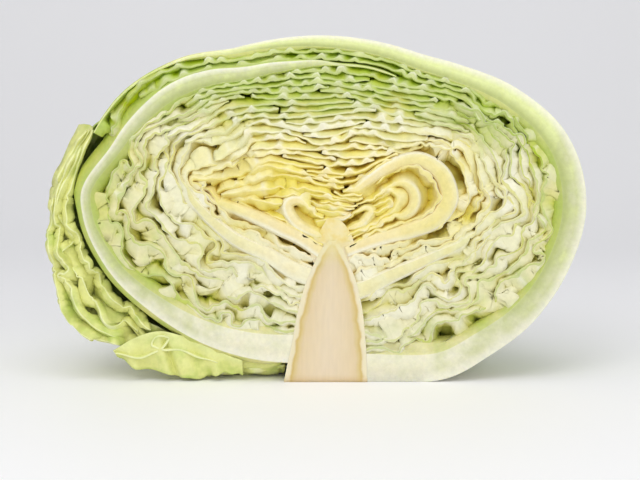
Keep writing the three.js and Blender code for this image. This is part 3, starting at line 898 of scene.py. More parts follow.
# %% Rows at the back of a leaf
BACK_ROWS = {"outer_leaf_right": 9, "frilled_leaf_left": 14, "frilled_leaf_foot": 6}
ragged, puckered = Noise(39, 9), Noise(40, 8)  # the torn back edge of a frilled leaf, and its puckers


def back_rows(i, moved):
    """Rows behind the last plane, where the crinkles fade out."""
    chain = chains[i]
    count = BACK_ROWS.get(chain["name"], 3)
    rows, thicks = [], []
    for k in range(1, count + 1):
        fade = (1 - k / count) ** 1.5
        if chain["shell"]:
            depth = leaf_in_plane(*chain["shell"], chain["angles"], ROWS[-1])[3]
            depth = mix(depth, 60.0, k / count)
            reach, thick_here, _ = leaf_on_rays(*chain["shell"], chain["angles"], depth)
            row = on_rays(chain["angles"], depth, reach)
        elif chain["angles"] is not None:
            frill = [f for f in FRILLS if f["name"] == chain["name"]][0]
            none = 0 * chain["angles"]
            edge = ragged(np.stack([chain["angles"] * 1.5, 60 * chain["share"] + none, none], -1))
            last = (54.0 if frill["name"] == "frilled_leaf_left" else 28.0) + 7 * edge
            behind = mix(ROWS[-1], last, k / count)
            near, far = frill_room(frill, chain["angles"], behind)
            along = ray(chain["angles"])
            row = in_space(mix(near, far, chain["share"])[:, None] * along, behind)
            bump = 1.6 * puckered(row + 40 * chain["share"]) * smooth(0, 0.4, k / count)
            row[:, [0, 2]] += along * bump[:, None]
            thick_here = chain["thick"][-1]
        else:
            behind = ROWS[-1] + 6.0 * k
            left_over = (1 - (behind / HEART_BACK) ** POWER) / (1 - (ROWS[-1] / HEART_BACK) ** POWER)
            row = in_space(chain["points"][-1] * left_over ** (1 / POWER), behind)
            thick_here = chain["thick"][-1]
        row[:, 0] += moved[:, 0] * fade
        row[:, 2] += moved[:, 1] * fade
        rows.append(row)
        thicks.append(thick_here)
    return np.array(rows), np.array(thicks)


moved_back = grown[-1, :start[1]] - planned[-1, :start[1]]
print("the first leaf reaches", round(float(back_rows(0, moved_back)[0][..., 1].max() - CUT_Y)), "mm back")


# %% How much room each blade has beside it
LOOK = 11.0  # mm, how far a blade looks for its neighbour
SPREAD = 1.5  # mm that a blade spreads to each side for each mm behind the knife


def least_of(owner, distance, size):
    """The smallest distance that each owner has in the list, and LOOK / 2 where it has none."""
    least = np.full(size, LOOK / 2)
    if len(owner) == 0:
        return least
    order = np.argsort(owner, kind="stable")
    owner, distance = owner[order], distance[order]
    first = np.r_[0, np.flatnonzero(np.diff(owner)) + 1]
    least[owner[first]] = np.minimum(np.minimum.reduceat(distance, first), LOOK / 2)
    return least


def room_beside(grown):
    """How far each point's blade can spread to its left and right, in each plane."""
    points = np.concatenate([grown, obstacles], axis=1)
    first, second = near_pairs(points, LOOK)
    a, b = first % all_count, second % all_count
    rib = np.r_[stiff & (thick[0] > STIFF_THICKNESS), np.zeros(obstacles.shape[1], bool)]
    skip = rib[a] | rib[b] | ((chain_all[a] < 0) & (chain_all[b] < 0))
    skip |= (chain_all[a] == chain_all[b]) & (np.abs(index_all[a] - index_all[b]) < 5)
    first, second = first[~skip], second[~skip]
    flat = points.reshape(-1, 2)
    normal = np.concatenate([sideways_of_chains(grown), np.zeros(obstacles.shape)], axis=1).reshape(-1, 2)
    me, other = np.r_[first, second], np.r_[second, first]
    keep = chain_all[me % all_count] >= 0
    me, other = me[keep], other[keep]
    apart = flat[other] - flat[me]
    far = np.sqrt((apart * apart).sum(1)) + 1e-9
    from_me, from_other = (apart * normal[me]).sum(1) / far, -(apart * normal[other]).sum(1) / far
    to_skin = chain_all[other % all_count] < 0
    rooms = [None, None]
    for turn in range(3):
        if turn == 0:
            reach = far / 2
        else:
            faced = np.where(from_other > 0, rooms[0][other], rooms[1][other])
            reach = np.maximum(far - np.where(np.abs(from_other) > 0.45, faced, far / 2), far / 2)
        reach = np.where(to_skin, far - 0.25, reach)
        new = [least_of(me[s * from_me > 0.45], reach[s * from_me > 0.45], len(flat)) for s in (1, -1)]
        rooms = new if turn == 0 else [(old + now) / 2 for old, now in zip(rooms, new)]
    return [room.reshape(points.shape[:2])[:, :free_count] for room in rooms]


def sideways_of_chains(points):
    """Unit normals of every chain in its planes."""
    return np.concatenate([sideways(points[:, start[i]:start[i + 1]]) for i in range(len(chains))], axis=1)


def fold_limit(points, sign):
    """On the inside of a fold, a blade can't reach farther than the fold's own radius."""
    limit = np.full(points.shape[:2], LOOK / 2)
    run = (points[:, 4:] - points[:, :-4]) / 2
    bend = points[:, 4:] + points[:, :-4] - 2 * points[:, 2:-2]
    step = np.maximum((run * run).sum(-1) / 4, 0.05)
    normal = unit(np.stack([-run[..., 1], run[..., 0]], -1))
    curve = sign * (bend * normal).sum(-1) / 4 / step
    limit[:, 2:-2] = np.minimum(limit[:, 2:-2], 0.85 / np.maximum(curve, 0.05))
    return limit


def calm(values):
    """Smooth a row of numbers along a chain."""
    out = values.copy()
    out[:, 1:-1] = (values[:, :-2] + 2 * values[:, 1:-1] + values[:, 2:]) / 4
    return out


beside = room_beside(grown)
print("room beside a blade, in mm:", [round(float(np.median(side)), 2) for side in beside])

# %% [markdown]
# ## Veins and cut edges
#
# Side veins stiffen a blade, and between two of them it arches up, so the cut edge of a leaf under the
# crown is a row of low arches. Where the knife meets a crumpled blade at a slant the cut edge is broad,
# and cut blades spring back from the knife a little, unevenly. All of these are small smooth changes
# along the grown chains, so slow and fast noise draws them.

# %% Veins: ridges on the outer side of a blade, and the arches between them
def veins(i, middle):
    """For each plane of a chain: how near each point is to a side vein, 1 on its crest, and how high
    on the arch between two veins."""
    random = np.random.default_rng(400 + i)
    length = np.r_[0, np.cumsum(np.hypot(*np.diff(middle[0], axis=0).T))]
    places = np.cumsum(4.5 + random.exponential(6, int(length[-1] / 4.5) + 4)) - 12
    heights = random.uniform(0.2, 1.2, len(places))
    ridge, arch = [], []
    for behind in PLANES:
        at = length + 0.35 * behind
        k = np.clip(np.searchsorted(places, at) - 1, 0, len(places) - 2)
        t = (at - places[k]) / (places[k + 1] - places[k])
        to_left, to_right = at - places[k], places[k + 1] - at
        near_left = np.clip(1 - to_left / 2.8, 0, 1) ** 1.4 * heights[k]
        near_right = np.clip(1 - to_right / 2.8, 0, 1) ** 1.4 * heights[k + 1]
        ridge.append(np.maximum(near_left, near_right))
        arch.append(np.clip(4 * t * (1 - t), 0, 1) ** 0.8 * np.minimum(1, (places[k + 1] - places[k]) / 9))
    return np.array(ridge), np.array(arch)


highest = veins(0, grown[:, :start[1]])[0].max()
print("the highest vein of the first leaf stands", round(float(highest), 2), "of a vein's usual height")


# %% What is uneven about a cut blade
slant = Noise(31, (6, 20, 6))  # where the knife meets a blade at a slant
ripple = Noise(32, (2.6, 4, 2.6))  # small waves along a cut edge
relaxed = Noise(33, (8, 20, 8))  # cut blades spring back from the knife a little
lying = Noise(38, (10, 20, 10))  # which way the blades lean behind the knife


def is_frilled(i):
    return chains[i]["name"].startswith("frilled")


def is_outer(i):
    return chains[i]["name"].startswith("outer")


def facing_away(points):
    """1 where the left of a chain is its outer side, as seen from the heart, and -1 elsewhere."""
    return 1 if (sideways(points[0]) * unit(points[0])).sum(-1).mean() > 0 else -1


def ribs_of(i):
    """How stiff a chain is along its run, and how far it is a rib rather than a blade in each plane."""
    ends_kept = np.pad(chains[i]["stiff"].astype(float), 4, mode="edge")
    firm = np.convolve(ends_kept, np.ones(9) / 9, mode="valid")
    return firm, smooth(1.8, 3.0, thick[:, start[i]:start[i + 1]]) * firm


print("the first leaf is a rib over", round(100 * float((ribs_of(0)[1][0] > 0.5).mean())), "% of its run")


# %% How a rib swells behind the knife
def swollen_rib(i, base, is_outer_side, crown, ends):
    """The outer leaves swell towards the head, and the left one also towards the frilled leaf that lies
    against it, so that no gap shows beside them. Its outer side swells more slowly, with a soft edge."""
    if not is_outer(i):
        return base + np.minimum(0.9 * ROWS, 1.2)[:, None]
    angles = chains[i]["angles"]
    is_right = chains[i]["name"].endswith("right")
    under = smooth(152, 140, angles) * smooth(96, 112, angles)
    most, quick = mix(4.5, 0.8, crown * (1 - under * is_right)), 1.3
    if is_outer_side and is_right:
        most = 0.0
    elif is_outer_side:
        beside_frill = 2.6 * smooth(142, 152, angles) * smooth(256, 244, angles)
        beside_frill += 3.2 * smooth(142, 152, angles) * smooth(182, 170, angles)
        most, quick = 3.0 * under + beside_frill, 0.9
    return base + np.minimum(quick * ROWS[:, None], most) * smooth(0, 14, ends)


# %% How far a blade reaches to one side
OPEN_HEART = ("heart_leaf_right_2", "heart_leaf_right_3")  # leaves with a hollow beside them


def blade_reach(i, own, base, vein, slanted, wide, is_outer_side, crown, ends):
    """A blade keeps its true edge in the cut, and behind it spreads into its room, or a little past it."""
    name, frilled = chains[i]["name"], is_frilled(i)
    room = between_planes(own)
    room = mix(0.9 * room, 2 * room - 0.45, wide)
    limit = np.maximum(room * mix(0.5, 1, smooth(0, 5, ends)), base)
    if is_outer_side and is_outer(i):
        limit = base
    if frilled:
        limit = np.minimum(limit, base + (3.0 if not is_outer_side and chains[i]["share"] < 0.1 else 1.3))
    broad = mix(0.2 * smooth(0.4, 1.0, slanted[0]), 0.06, crown) * (0.1 if frilled else 1)
    cut_half = np.minimum(base + broad * (limit + 0.12 - base) + vein, limit + 0.5)
    open_crown = mix(0.4, 0.9, smooth(0.25, 0.9, chains[i]["level"]))
    slope = mix(0.12, mix(SPREAD * (1 + 0.5 * np.clip(slanted[1], -1, 1)), open_crown, crown), wide)
    filled_at = mix(2.4, 9.0, crown)  # mm behind the knife where a blade fills its room
    if name in OPEN_HEART:
        slope, filled_at = 0.3, 11.0
    slope = np.maximum(slope, (limit - cut_half) / filled_at * wide * (0 if frilled else 1))
    return np.maximum(np.minimum(cut_half + slope * ROWS[:, None], limit + 0.3), cut_half)


# %% Rows, edges and spread of each leaf
SIDES = ((0, 1), (1, -1))  # the left side of a chain and its right side


def leaf_rows(i):
    """Centres of leaf i, row by row, how far its blade reaches to either side of them, how near each
    point of its cut edge is to a vein, and how far that edge springs back."""
    part = slice(start[i], start[i + 1])
    frilled, calm_leaf = is_frilled(i), is_frilled(i) or is_outer(i)
    middle, crown = grown[:, part], crown_share(planned_angle[part])
    outward = facing_away(middle)
    place = in_space(middle + 31.0 * (i % 13), PLANES[:, None])
    firm, rib = ribs_of(i)
    ridge, arch = (0 * values if calm_leaf else values for values in veins(i, middle))
    own = [calm(np.minimum(calm(beside[side][:, part]), fold_limit(middle, sign))) for side, sign in SIDES]
    inner_room = own[1 if outward > 0 else 0] - thick[:, part] / 2
    rise = np.minimum(mix(0.4, 1.3, crown) * arch, np.maximum(inner_room, 0) * 0.9) * (1 - rib)
    waves = ripple(place) * (0 if calm_leaf else 0.5) * mix(1, 0.4, crown) * (1 - rib)
    middle = middle + sideways(middle) * (waves - outward * rise)[..., None]
    behind, behind_thick = back_rows(i, middle[-1] - planned[-1, part])
    ends = np.minimum(np.arange(len(firm)), np.arange(len(firm))[::-1])
    taper = mix(0.35, 1, smooth(0, 6, np.where(thick[0, part] > 2.4, 9, ends)))
    thin = mix(1, mix(0.68, 0.66, crown), 1 - rib[0])
    own_thick = mix(np.minimum(thick[:, part], 1.3), thick[:, part], np.maximum(firm, crown))
    base = between_planes(own_thick) * taper * thin / 2
    rib, ridge = between_planes(rib), between_planes(ridge)
    leaning = np.maximum(smooth(-0.5, -0.1, lying(in_space(middle[0], 0.0))), crown)
    leaning = 0.5 + 0 * leaning if frilled else leaning
    halves = []
    for side, sign in SIDES:
        is_outer_side = sign == outward
        wide = leaning if is_outer_side else 1 - leaning
        if chains[i]["name"].startswith("heart"):
            wide = np.maximum(wide, 0.35)
        vein = ridge * mix(0.8, 1.8, crown) * is_outer_side * (1 - rib)
        slanted = slant(place[0] + 60 * sign), slant(place[0] - 60 * sign)
        blade = blade_reach(i, own[side], base, vein, slanted, wide, is_outer_side, crown, ends)
        half = mix(blade, swollen_rib(i, base, is_outer_side, crown, ends), rib)
        halves.append(np.concatenate([np.maximum(half, 0.28), np.maximum(behind_thick / 2, 0.3)]))
    if frilled:
        set_back = 6.5 if chains[i]["name"].endswith("foot") else 3.5
        back = np.maximum(relaxed(place[0] * [1.2, 1, 1.2]) * 3.0 + set_back, 0)
    else:
        back = SET_BACK + np.maximum(relaxed(place[0]) + 0.2, 0) * mix(2.4, 1.0, crown) * (1 - rib[0])
    front = in_space(between_planes(middle), ROWS[:, None])
    front[..., 1] += back * (1 - ROWS[:, None] / ROWS[-1])
    return np.concatenate([front, behind]), np.array(halves), ridge[0], back


def under_the_outer_leaf(points):
    """Behind the knife an inner blade stays under the skin of the head."""
    offset = points - HEART
    reach = np.linalg.norm(offset, axis=-1)
    depth = np.arcsin(offset[..., 1] / reach) / DEG
    most = head_distance(round_the_heart(offset[..., [0, 2]]), depth) - 1.5
    pulled_in = HEART + offset * np.minimum(1, most / reach)[..., None]
    return mix(points, pulled_in, smooth(1.5, 5, points[..., 1] - CUT_Y)[..., None])


print("the first leaf's cut edge is", round(float(leaf_rows(0)[1][:, 0].sum(0).max()), 1), "mm thick at most")

# %% Colour values that each leaf carries
def leaf_whiteness(i, ridge):
    """1 on ribs and on blades near the stem, and less towards the tips."""
    chain = chains[i]
    white = np.maximum(smooth(1.6, 4.0, thick[0, start[i]:start[i + 1]]), 0.8 * ridge)
    if chain["shell"]:
        from_stem = np.minimum(chain["angles"] - FIRST_ANGLE, LAST_ANGLE - chain["angles"])
        white = np.maximum(white, 0.9 - 0.9 * smooth(15, 95, from_stem))
    return white


paler = Noise(37, (9, 20, 9))


def face_whiteness(i, white, is_cut):
    """At the sides of the head the blades behind a thin green-yellow edge are almost white. Returns the
    whiteness of edges and faces, and how green each edge is."""
    part = slice(start[i], start[i + 1])
    angle, from_heart = planned_angle[part], np.linalg.norm(planned[0, part], axis=-1)
    side_share = 1 - smooth(26, 50, angle) * (1 - smooth(130, 154, angle))
    side_share = side_share * smooth(22, 44, from_heart)
    if is_frilled(i) or is_outer(i):
        side_share = 0 * side_share
    pale = np.clip(0.74 + 0.4 * paler(in_space(planned[0, part], 0.0)), 0, 1)
    pale = pale * smooth(0.15, 0.75, chains[i]["level"])
    faces = np.maximum(white, pale * side_share)
    edges = mix(white, 0.35 * white, side_share)
    green_edge = side_share
    if not (is_frilled(i) or is_outer(i)):
        green_edge = np.maximum(side_share, 0.5 * (1 - smooth(-0.1, 0.8, leaf_level(i))))
    return np.where(is_cut, edges, faces), green_edge


def leaf_level(i):
    """How far in a leaf lies, 0 on the outside of the head. Under the crown light gets in deeper, so
    leaves are greener there, and so is an outer leaf away from the stem."""
    chain = chains[i]
    level = chain["level"].copy()
    if chain["shell"]:
        from_stem = np.minimum(chain["angles"] - FIRST_ANGLE, LAST_ANGLE - chain["angles"])
        crown = crown_share(planned_angle[start[i]:start[i + 1]], (2, 30))
        level -= 0.72 * crown * (1 - smooth(0.75, 1.6, level))
        if is_outer(i):
            level += mix(0.5, -0.3, smooth(5, 75, from_stem)) - 0.4 * smooth(95, 140, from_stem)
        if chain["name"] == "outer_leaf_left":
            level = np.maximum(level, -0.3)
    return level


print("level of the first leaf at its base and its tip:", leaf_level(0)[[0, -1]].round(2))

# %% [markdown]
# ## From rows to solids
#
# A sheet with a thickness modifier would have the same thickness everywhere. Here the cut edge matters
# most, so each blade is a closed ring of rows: up its left side, over the cut edge, and down its right
# side. The cut edge is flat with a small rounded rim, which catches the light. Sheets that the knife
# missed are two grids, an outer and an inner one, closed all round.

# %% Give a blade its thickness
RIM = 0.3  # mm, how wide the rounded rim of a cut edge is
RIM_DROP = 0.2  # mm, how far the rim falls back


def grid_quads(rows, count):
    a = (np.arange(rows - 1)[:, None] * count + np.arange(count - 1)).ravel()
    return np.stack([a, a + 1, a + count + 1, a + count], -1)


def solid_blade(centres, halves, back):
    """A closed solid from rows of centres and how far the blade reaches to either side. Returns points,
    quads, which points are cut, which are on its left, and which are on the rim of its cut edge."""
    count = centres.shape[1]
    along = np.gradient(centres, axis=1)
    normal = unit(np.cross(along, np.gradient(centres, axis=0)))
    flat = unit(np.stack([-along[..., 2], 0 * along[..., 0], along[..., 0]], -1))
    normal = unit(mix(flat, normal, smooth(0, 4, centres[..., 1] - CUT_Y)[..., None]))
    sides, faces = [], []
    for sign, half in ((1, halves[0]), (-1, halves[1])):
        side = centres + sign * normal * half[..., None]
        face = centres[0] + sign * flat[0] * (half[0] - np.minimum(RIM, 0.55 * half[0]))[:, None]
        face[:, 1] = CUT_Y + back
        side[0, :, 1] = CUT_Y + back + np.minimum(RIM_DROP, 0.4 * half[0])
        least = side[0, :, 1] + 0.2 * np.arange(len(side))[:, None]
        side[..., 1] = np.maximum(side[..., 1], least)
        sides.append(side)
        faces.append(face[None])
    ring = np.concatenate([sides[0][::-1], faces[0], faces[1], sides[1]])
    ring[..., 2] = np.maximum(ring[..., 2], 0.1)
    size = len(ring)
    around = np.arange(count - 1)
    last = around + (size - 1) * count
    close = np.stack([last, last + 1, around + 1, around], -1)
    k = np.arange(size // 2 - 1)
    cap = np.stack([k, k + 1, size - 2 - k, size - 1 - k], -1) * count
    quads = np.concatenate([grid_quads(size, count), close, cap, cap[:, ::-1] + count - 1])
    marks = np.zeros((3, size, count))
    marks[0, size // 2 - 1:size // 2 + 1] = 1
    marks[1, :size // 2] = 1
    marks[2, [size // 2 - 2, size // 2 + 1]] = 1
    return (ring.reshape(-1, 3), quads, *marks.reshape(3, -1))


first_blade = solid_blade(*[leaf_rows(0)[k] for k in (0, 1, 3)])
print("the first leaf's solid has", len(first_blade[1]), "quads")


# %% Close a sheet between two grids
def closed_sheet(outer, inner):
    """A closed solid between two grids of points."""
    rows, count = outer.shape[:2]
    size = rows * count
    a, b = np.arange(count - 1), np.arange(rows - 1) * count
    quads = [grid_quads(rows, count), grid_quads(rows, count)[:, ::-1] + size]
    for edge in (a, a + (rows - 1) * count):
        side = np.stack([edge, edge + size, edge + 1 + size, edge + 1], -1)
        quads.append(side if edge[0] == 0 else side[:, ::-1])
    for edge in (b, b + count - 1):
        side = np.stack([edge, edge + count, edge + count + size, edge + size], -1)
        quads.append(side if edge[0] == 0 else side[:, ::-1])
    return np.concatenate([outer.reshape(-1, 3), inner.reshape(-1, 3)]), np.concatenate(quads)


def facing_out(points, quads):
    """Turn the quads round if the solid they close is inside out."""
    corners = points[quads]
    volume = np.einsum("ij,ij->i", corners[:, 0], np.cross(corners[:, 1], corners[:, 2])).sum()
    volume += np.einsum("ij,ij->i", corners[:, 0], np.cross(corners[:, 2], corners[:, 3])).sum()
    return quads if volume > 0 else quads[:, ::-1]


print("two grids of 3 by 3 points close with", len(closed_sheet(*np.zeros((2, 3, 3, 3)))[1]), "quads")


# %% Make an object of one or more solids
def make_piece(name, parts, values, replaces, rims=None):
    """One object from (points, quads) parts, with named values on its points."""
    offsets = np.cumsum([0] + [len(p[0]) for p in parts])
    points = np.concatenate([p[0] for p in parts])
    quads = np.concatenate([facing_out(p[0], p[1]) + o for p, o in zip(parts, offsets)])
    mesh = bpy.data.meshes.new(name)
    mesh.vertices.add(len(points))
    mesh.vertices.foreach_set("co", (points * MM).astype(np.float32).ravel())
    mesh.loops.add(quads.size)
    mesh.loops.foreach_set("vertex_index", quads.astype(np.int32).ravel())
    mesh.polygons.add(len(quads))
    mesh.polygons.foreach_set("loop_start", np.arange(0, quads.size, 4, dtype=np.int32))
    mesh.update(calc_edges=True)
    mesh.shade_smooth()
    if rims is not None:
        ends = np.zeros(2 * len(mesh.edges), np.int32)
        mesh.edges.foreach_get("vertices", ends)
        crisp = (rims[ends.reshape(-1, 2)] > 0).all(axis=1)
        mesh.attributes.new("sharp_edge", "BOOLEAN", "EDGE").data.foreach_set("value", crisp)
    for key, numbers in values.items():
        mesh.attributes.new(key, "FLOAT", "POINT").data.foreach_set("value", np.asarray(numbers, np.float32))
    mesh.validate()
    piece = bpy.data.objects.new(name, mesh)
    bpy.context.scene.collection.objects.link(piece)
    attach(piece, "root")
    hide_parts(*replaces)
    return piece


# %% [markdown]
# ## The leaf at the foot
#
# The lowest loose leaf lies on the table in front of the others. The knife missed its broad lobe, which
# faces forward with a few soft folds, and its upper edge is turned down over it. A lobe like this could
# be draped as cloth, but two edges and a row of fold depths say directly where it lies.

# %% The broad lobe
FOOT_TOP = [[0, -38, 9.6], [0.14, -47, 12.9], [0.28, -55, 16.4], [0.42, -63.5, 20.2], [0.56, -72, 22.5],
            [0.7, -79.5, 22], [0.85, -88, 18.5], [1, -95.5, 13.8]]
FOOT_BOTTOM = [[0, -38, 2.6], [0.14, -47, 3.4], [0.28, -55, 1.6], [0.42, -62, 1.1], [0.56, -71, 3.6],
               [0.7, -79, 4.6], [0.85, -87, 6.4], [1, -94, 11.6]]
FOOT_FOLDS = [[0, 1.5], [0.12, 2.6], [0.22, 0.8], [0.34, 3.4], [0.42, 0.6], [0.5, 0.9], [0.55, 3.8],
              [0.6, 0.7], [0.72, 2.2], [0.8, 3.2], [0.88, 1.4], [1, 2.6]]
torn_fine = Noise(35, (2.1, 20, 2.1))  # the small roughness of its margin


def foot_lobe(along=120, across=30):
    """A ruffled sheet between two edges, with folds that run down it."""
    u, v = np.linspace(0, 1, along)[None, :], np.linspace(0, 1, across)[:, None]
    lean = np.clip(u + 0.09 * (v - 0.5), 0, 1)
    table_top, table_bottom = np.array(FOOT_TOP), np.array(FOOT_BOTTOM)
    x = mix(through(table_top[:, [0, 1]], u), through(table_bottom[:, [0, 1]], u), v)
    z = mix(through(table_top[:, [0, 2]], u), through(table_bottom[:, [0, 2]], u), v)
    frill = 0.9 * np.sin(2 * np.pi * (6.5 * u + 0.7 * np.sin(5 * u))) * v**2
    y = CUT_Y + 0.4 + through(FOOT_FOLDS, lean) * mix(0.5, 1.25, v) + 0.9 * frill
    place = np.stack([x, y, z + 0.5 * frill * smooth(0, 1, v)], -1)
    place[..., 1] += 0.5 * torn_fine(place * [0.6, 1, 0.6])
    place[..., 2] = np.maximum(place[..., 2], 0.8)
    normal = unit(np.cross(np.gradient(place, axis=1), np.gradient(place, axis=0)))
    edge = np.minimum(np.minimum(u, 1 - u) * 60, np.minimum(v, 1 - v) * 16)
    half = 0.3 + 0.15 * smooth(0, 1, edge)[..., None]
    return place + half * normal, place - half * normal, v + 0 * u


print("the lobe is", round(float(np.ptp(foot_lobe()[0][..., 0]))), "mm wide")

# %% Its folded edge
FOOT_EDGE = [[-94.5, 12.8], [-88, 11.4], [-81.5, 11.2], [-76, 13.6], [-72, 17], [-70.2, 19.6], [-72.6, 20.6],
             [-77, 19.4], [-78, 16.4], [-74.4, 14.6], [-69, 14.6], [-63, 13.4], [-56, 10.8], [-49, 8.4]]


def foot_fold():
    """The lobe's upper edge is folded down over it, and curls into a small loop on the way."""
    fine, line = curve_through(FOOT_EDGE, 150)
    line[:, 1] += 0.35 * np.sin(fine * 3.1)
    rows = np.array([0.0, 0.8, 1.8, 3.2, 5.0])
    centres = np.repeat(np.c_[line[:, 0], 0 * fine, line[:, 1]][None], len(rows), axis=0)
    centres[..., 1] = CUT_Y + 0.2 + rows[:, None]
    centres[..., 2] += 0.25 * rows[:, None]
    ends = np.minimum(fine, fine[-1] - fine)
    halves = np.full((2, *centres.shape[:2]), 0.55) * smooth(-0.5, 1.5, ends)
    return centres, np.maximum(halves, 0.28), 0.3 + 0 * fine


print("the folded edge has", foot_fold()[0].shape[1], "points along it")

# %% Colour values of one blade
def blade_values(i, blade, ridge):
    """What each point of a blade tells its material."""
    points, _, cut, is_left, _ = blade
    rings = len(points) // (start[i + 1] - start[i])
    is_cut = cut.reshape(rings, -1) > 0
    white, green_edge = face_whiteness(i, leaf_whiteness(i, ridge), is_cut)
    outer = is_left if facing_away(grown[:, start[i]:start[i + 1]]) > 0 else 1 - is_left
    if is_outer(i):
        inner_skin = outer.reshape(rings, -1) < 1
        is_skin = (inner_skin | (chains[i]["name"] == "outer_leaf_left")) & ~is_cut
        white = np.where(is_skin, np.where(inner_skin, 0.3, 0.05) * white, white)
        white = white * mix(1, 0.25, smooth(5, 22, points[:, 1].reshape(rings, -1) - CUT_Y))
    return {"level": np.tile(leaf_level(i), rings), "white": white.ravel(), "cut": cut, "outer": outer,
            "at_side": np.tile(green_edge, rings)}


def plain_values(level, white, cut=0):
    """The values of points that are neither outer skin nor at the side."""
    none = np.zeros(len(level))
    return {"level": level, "white": white, "cut": none + cut, "outer": none, "at_side": none}


def lobe_and_fold():
    """The two extra solids of the leaf at the foot, and their values."""
    front_side, back_side, down = foot_lobe()
    lobe, fold = closed_sheet(front_side, back_side), solid_blade(*foot_fold())
    level = -1.0 + 0.25 * (1 - smooth(0, 0.12, 1 - down))
    values = plain_values(np.tile(level.ravel(), 2), np.tile(0.5 * smooth(0.5, 0.0, down).ravel(), 2))
    marks, none = np.zeros((3, len(lobe[0]))), 0 * fold[2]
    return [(*lobe, *marks), (*fold[:4], none)], [values, plain_values(none - 0.95, none, fold[2])]


print("the fold at the foot has", len(lobe_and_fold()[0][1][1]), "quads")

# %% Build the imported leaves, the heart leaves and the frilled leaves
pieces = {}
triangles = 0
for name in dict.fromkeys(chain["name"] for chain in chains):
    solids, values = [], []
    for i in [i for i, chain in enumerate(chains) if chain["name"] == name]:
        centres, halves, ridge, back = leaf_rows(i)
        blade = solid_blade(centres, halves, back)
        if chains[i]["shell"] and not is_outer(i):
            blade = (under_the_outer_leaf(blade[0]), *blade[1:])
        solids.append(blade)
        values.append(blade_values(i, blade, ridge))
    if name == "frilled_leaf_foot":
        more_solids, more_values = lobe_and_fold()
        solids += more_solids
        values += more_values
    values = {key: np.concatenate([one[key] for one in values]) for key in values[0]}
    rims = np.concatenate([solid[4] for solid in solids])
    pieces[name] = make_piece(name + "_grown", solids, values, [name], rims)
    triangles += 2 * len(pieces[name].data.polygons)
print(len(pieces), "leaves with", triangles, "triangles")

# %% [markdown]
# ## The stem
#
# The stem is a blunt cone of firm pale flesh, and the youngest leaf buds sit on the growing tip at its
# top. Its cut face is flat. Just under the skin runs the ring of vessels that feeds the leaves, which
# the knife shows as a thin yellow line down each side. The mesh is a grid across the cut face, and the
# same grid pushed back along a half circle for the round back, closed all round.

# %% The stem's cut face and its round back
STEM_LEFT = [[0, 19.6], [10, 17.6], [20, 15.6], [30, 13.7], [37, 12], [45, 9.6], [51, 7], [56, 4.6],
             [60, 2.4], [63, -0.4]]
STEM_RIGHT = [[0, 17.6], [10, 17.3], [20, 16.6], [30, 15.6], [37, 14.4], [45, 12.4], [51, 10.2], [56, 8],
              [60, 6], [63, 3.4]]
STEM_TOP = 63.0


def stem_solid(left, right, foot, top, back, across=40, up=56):
    """Half a stem: a flat cut face, `back` mm behind the knife, and a round back."""
    z = foot + (top - foot) * (1 - (1 - np.linspace(0, 1, up)) ** 1.3)
    low, high = -through(left, z), through(right, z)
    middle, half = (low + high) / 2, (high - low) / 2
    u = np.sin(np.linspace(-90, 90, across) * DEG)
    y = np.full((up, across), CUT_Y + back)
    front = np.stack([middle[:, None] + half[:, None] * u, y, z[:, None] + 0 * u], -1)
    bulge = np.maximum(np.sqrt(1 - u**2), 0.02)
    behind = front + np.stack([0 * bulge, bulge, 0 * bulge], -1) * half[:, None, None]
    front[:, [0, -1], 1] += 0.1
    from_side = (1 - np.abs(u)) * half[:, None]
    return (*closed_sheet(front, behind), np.tile(from_side.ravel(), 2))


TIP_LEFT = [[50, 4.5], [55, 7], [60, 8], [64, 6.5], [67, 4], [70, 2], [73, 0.3]]
TIP_RIGHT = [[50, 7.5], [55, 10], [60, 11.5], [64, 11], [67, 9.6], [70, 7.6], [73, 4.5]]
stem_part = stem_solid(STEM_LEFT, STEM_RIGHT, 0.0, STEM_TOP, 0.0)
tip_part = stem_solid(TIP_LEFT, TIP_RIGHT, 50.0, 73.0, 0.5)
from_side = np.concatenate([stem_part[2], np.full(len(tip_part[0]), 30.0)])
stem = make_piece("stem_cut", [stem_part, tip_part], {"from_side": from_side}, ["stem"])
print("stem:", len(stem.data.polygons), "faces")

# %% [markdown]
# ## The wrapper leaves
#
# Three loose green leaves wrap the back of the head. Savoy leaves are puckered: between the finest
# veins the blade grows into small pillows, about a centimetre across. A thick midrib runs up each
# leaf, with side veins leaving it at a slant, and all of them stand out on the outside of the head.
# Each leaf is a grid in which every point is pushed out by its pillow, its vein and the midrib.

# %% Pillows between the veins
PILLOW = 11.0  # mm across a pillow between the finest veins
FINE_PILLOW = 5.2  # mm across the small pillows on it


def pillows(along, across, size, seed):
    """Height from 0 on the creases to 1 on the pillows, over places in mm."""
    random = np.random.default_rng(seed)
    jitter = random.uniform(0.15, 0.85, (64, 64, 2))
    x, y = along / size, across / size
    cell_x, cell_y = np.floor(x).astype(int), np.floor(y).astype(int)
    nearest, second = np.full(x.shape, 9.0), np.full(x.shape, 9.0)
    for dx in (-1, 0, 1):
        for dy in (-1, 0, 1):
            centre = jitter[(cell_x + dx) % 64, (cell_y + dy) % 64]
            far = np.hypot(cell_x + dx + centre[..., 0] - x, cell_y + dy + centre[..., 1] - y)
            second = np.minimum(second, np.maximum(nearest, far))
            nearest = np.minimum(nearest, far)
    return smooth(0.0, 0.55, second - nearest)


print("height at the middle of the first pillow:", pillows(*np.full((2, 1), PILLOW / 2), PILLOW, 1).round(2))

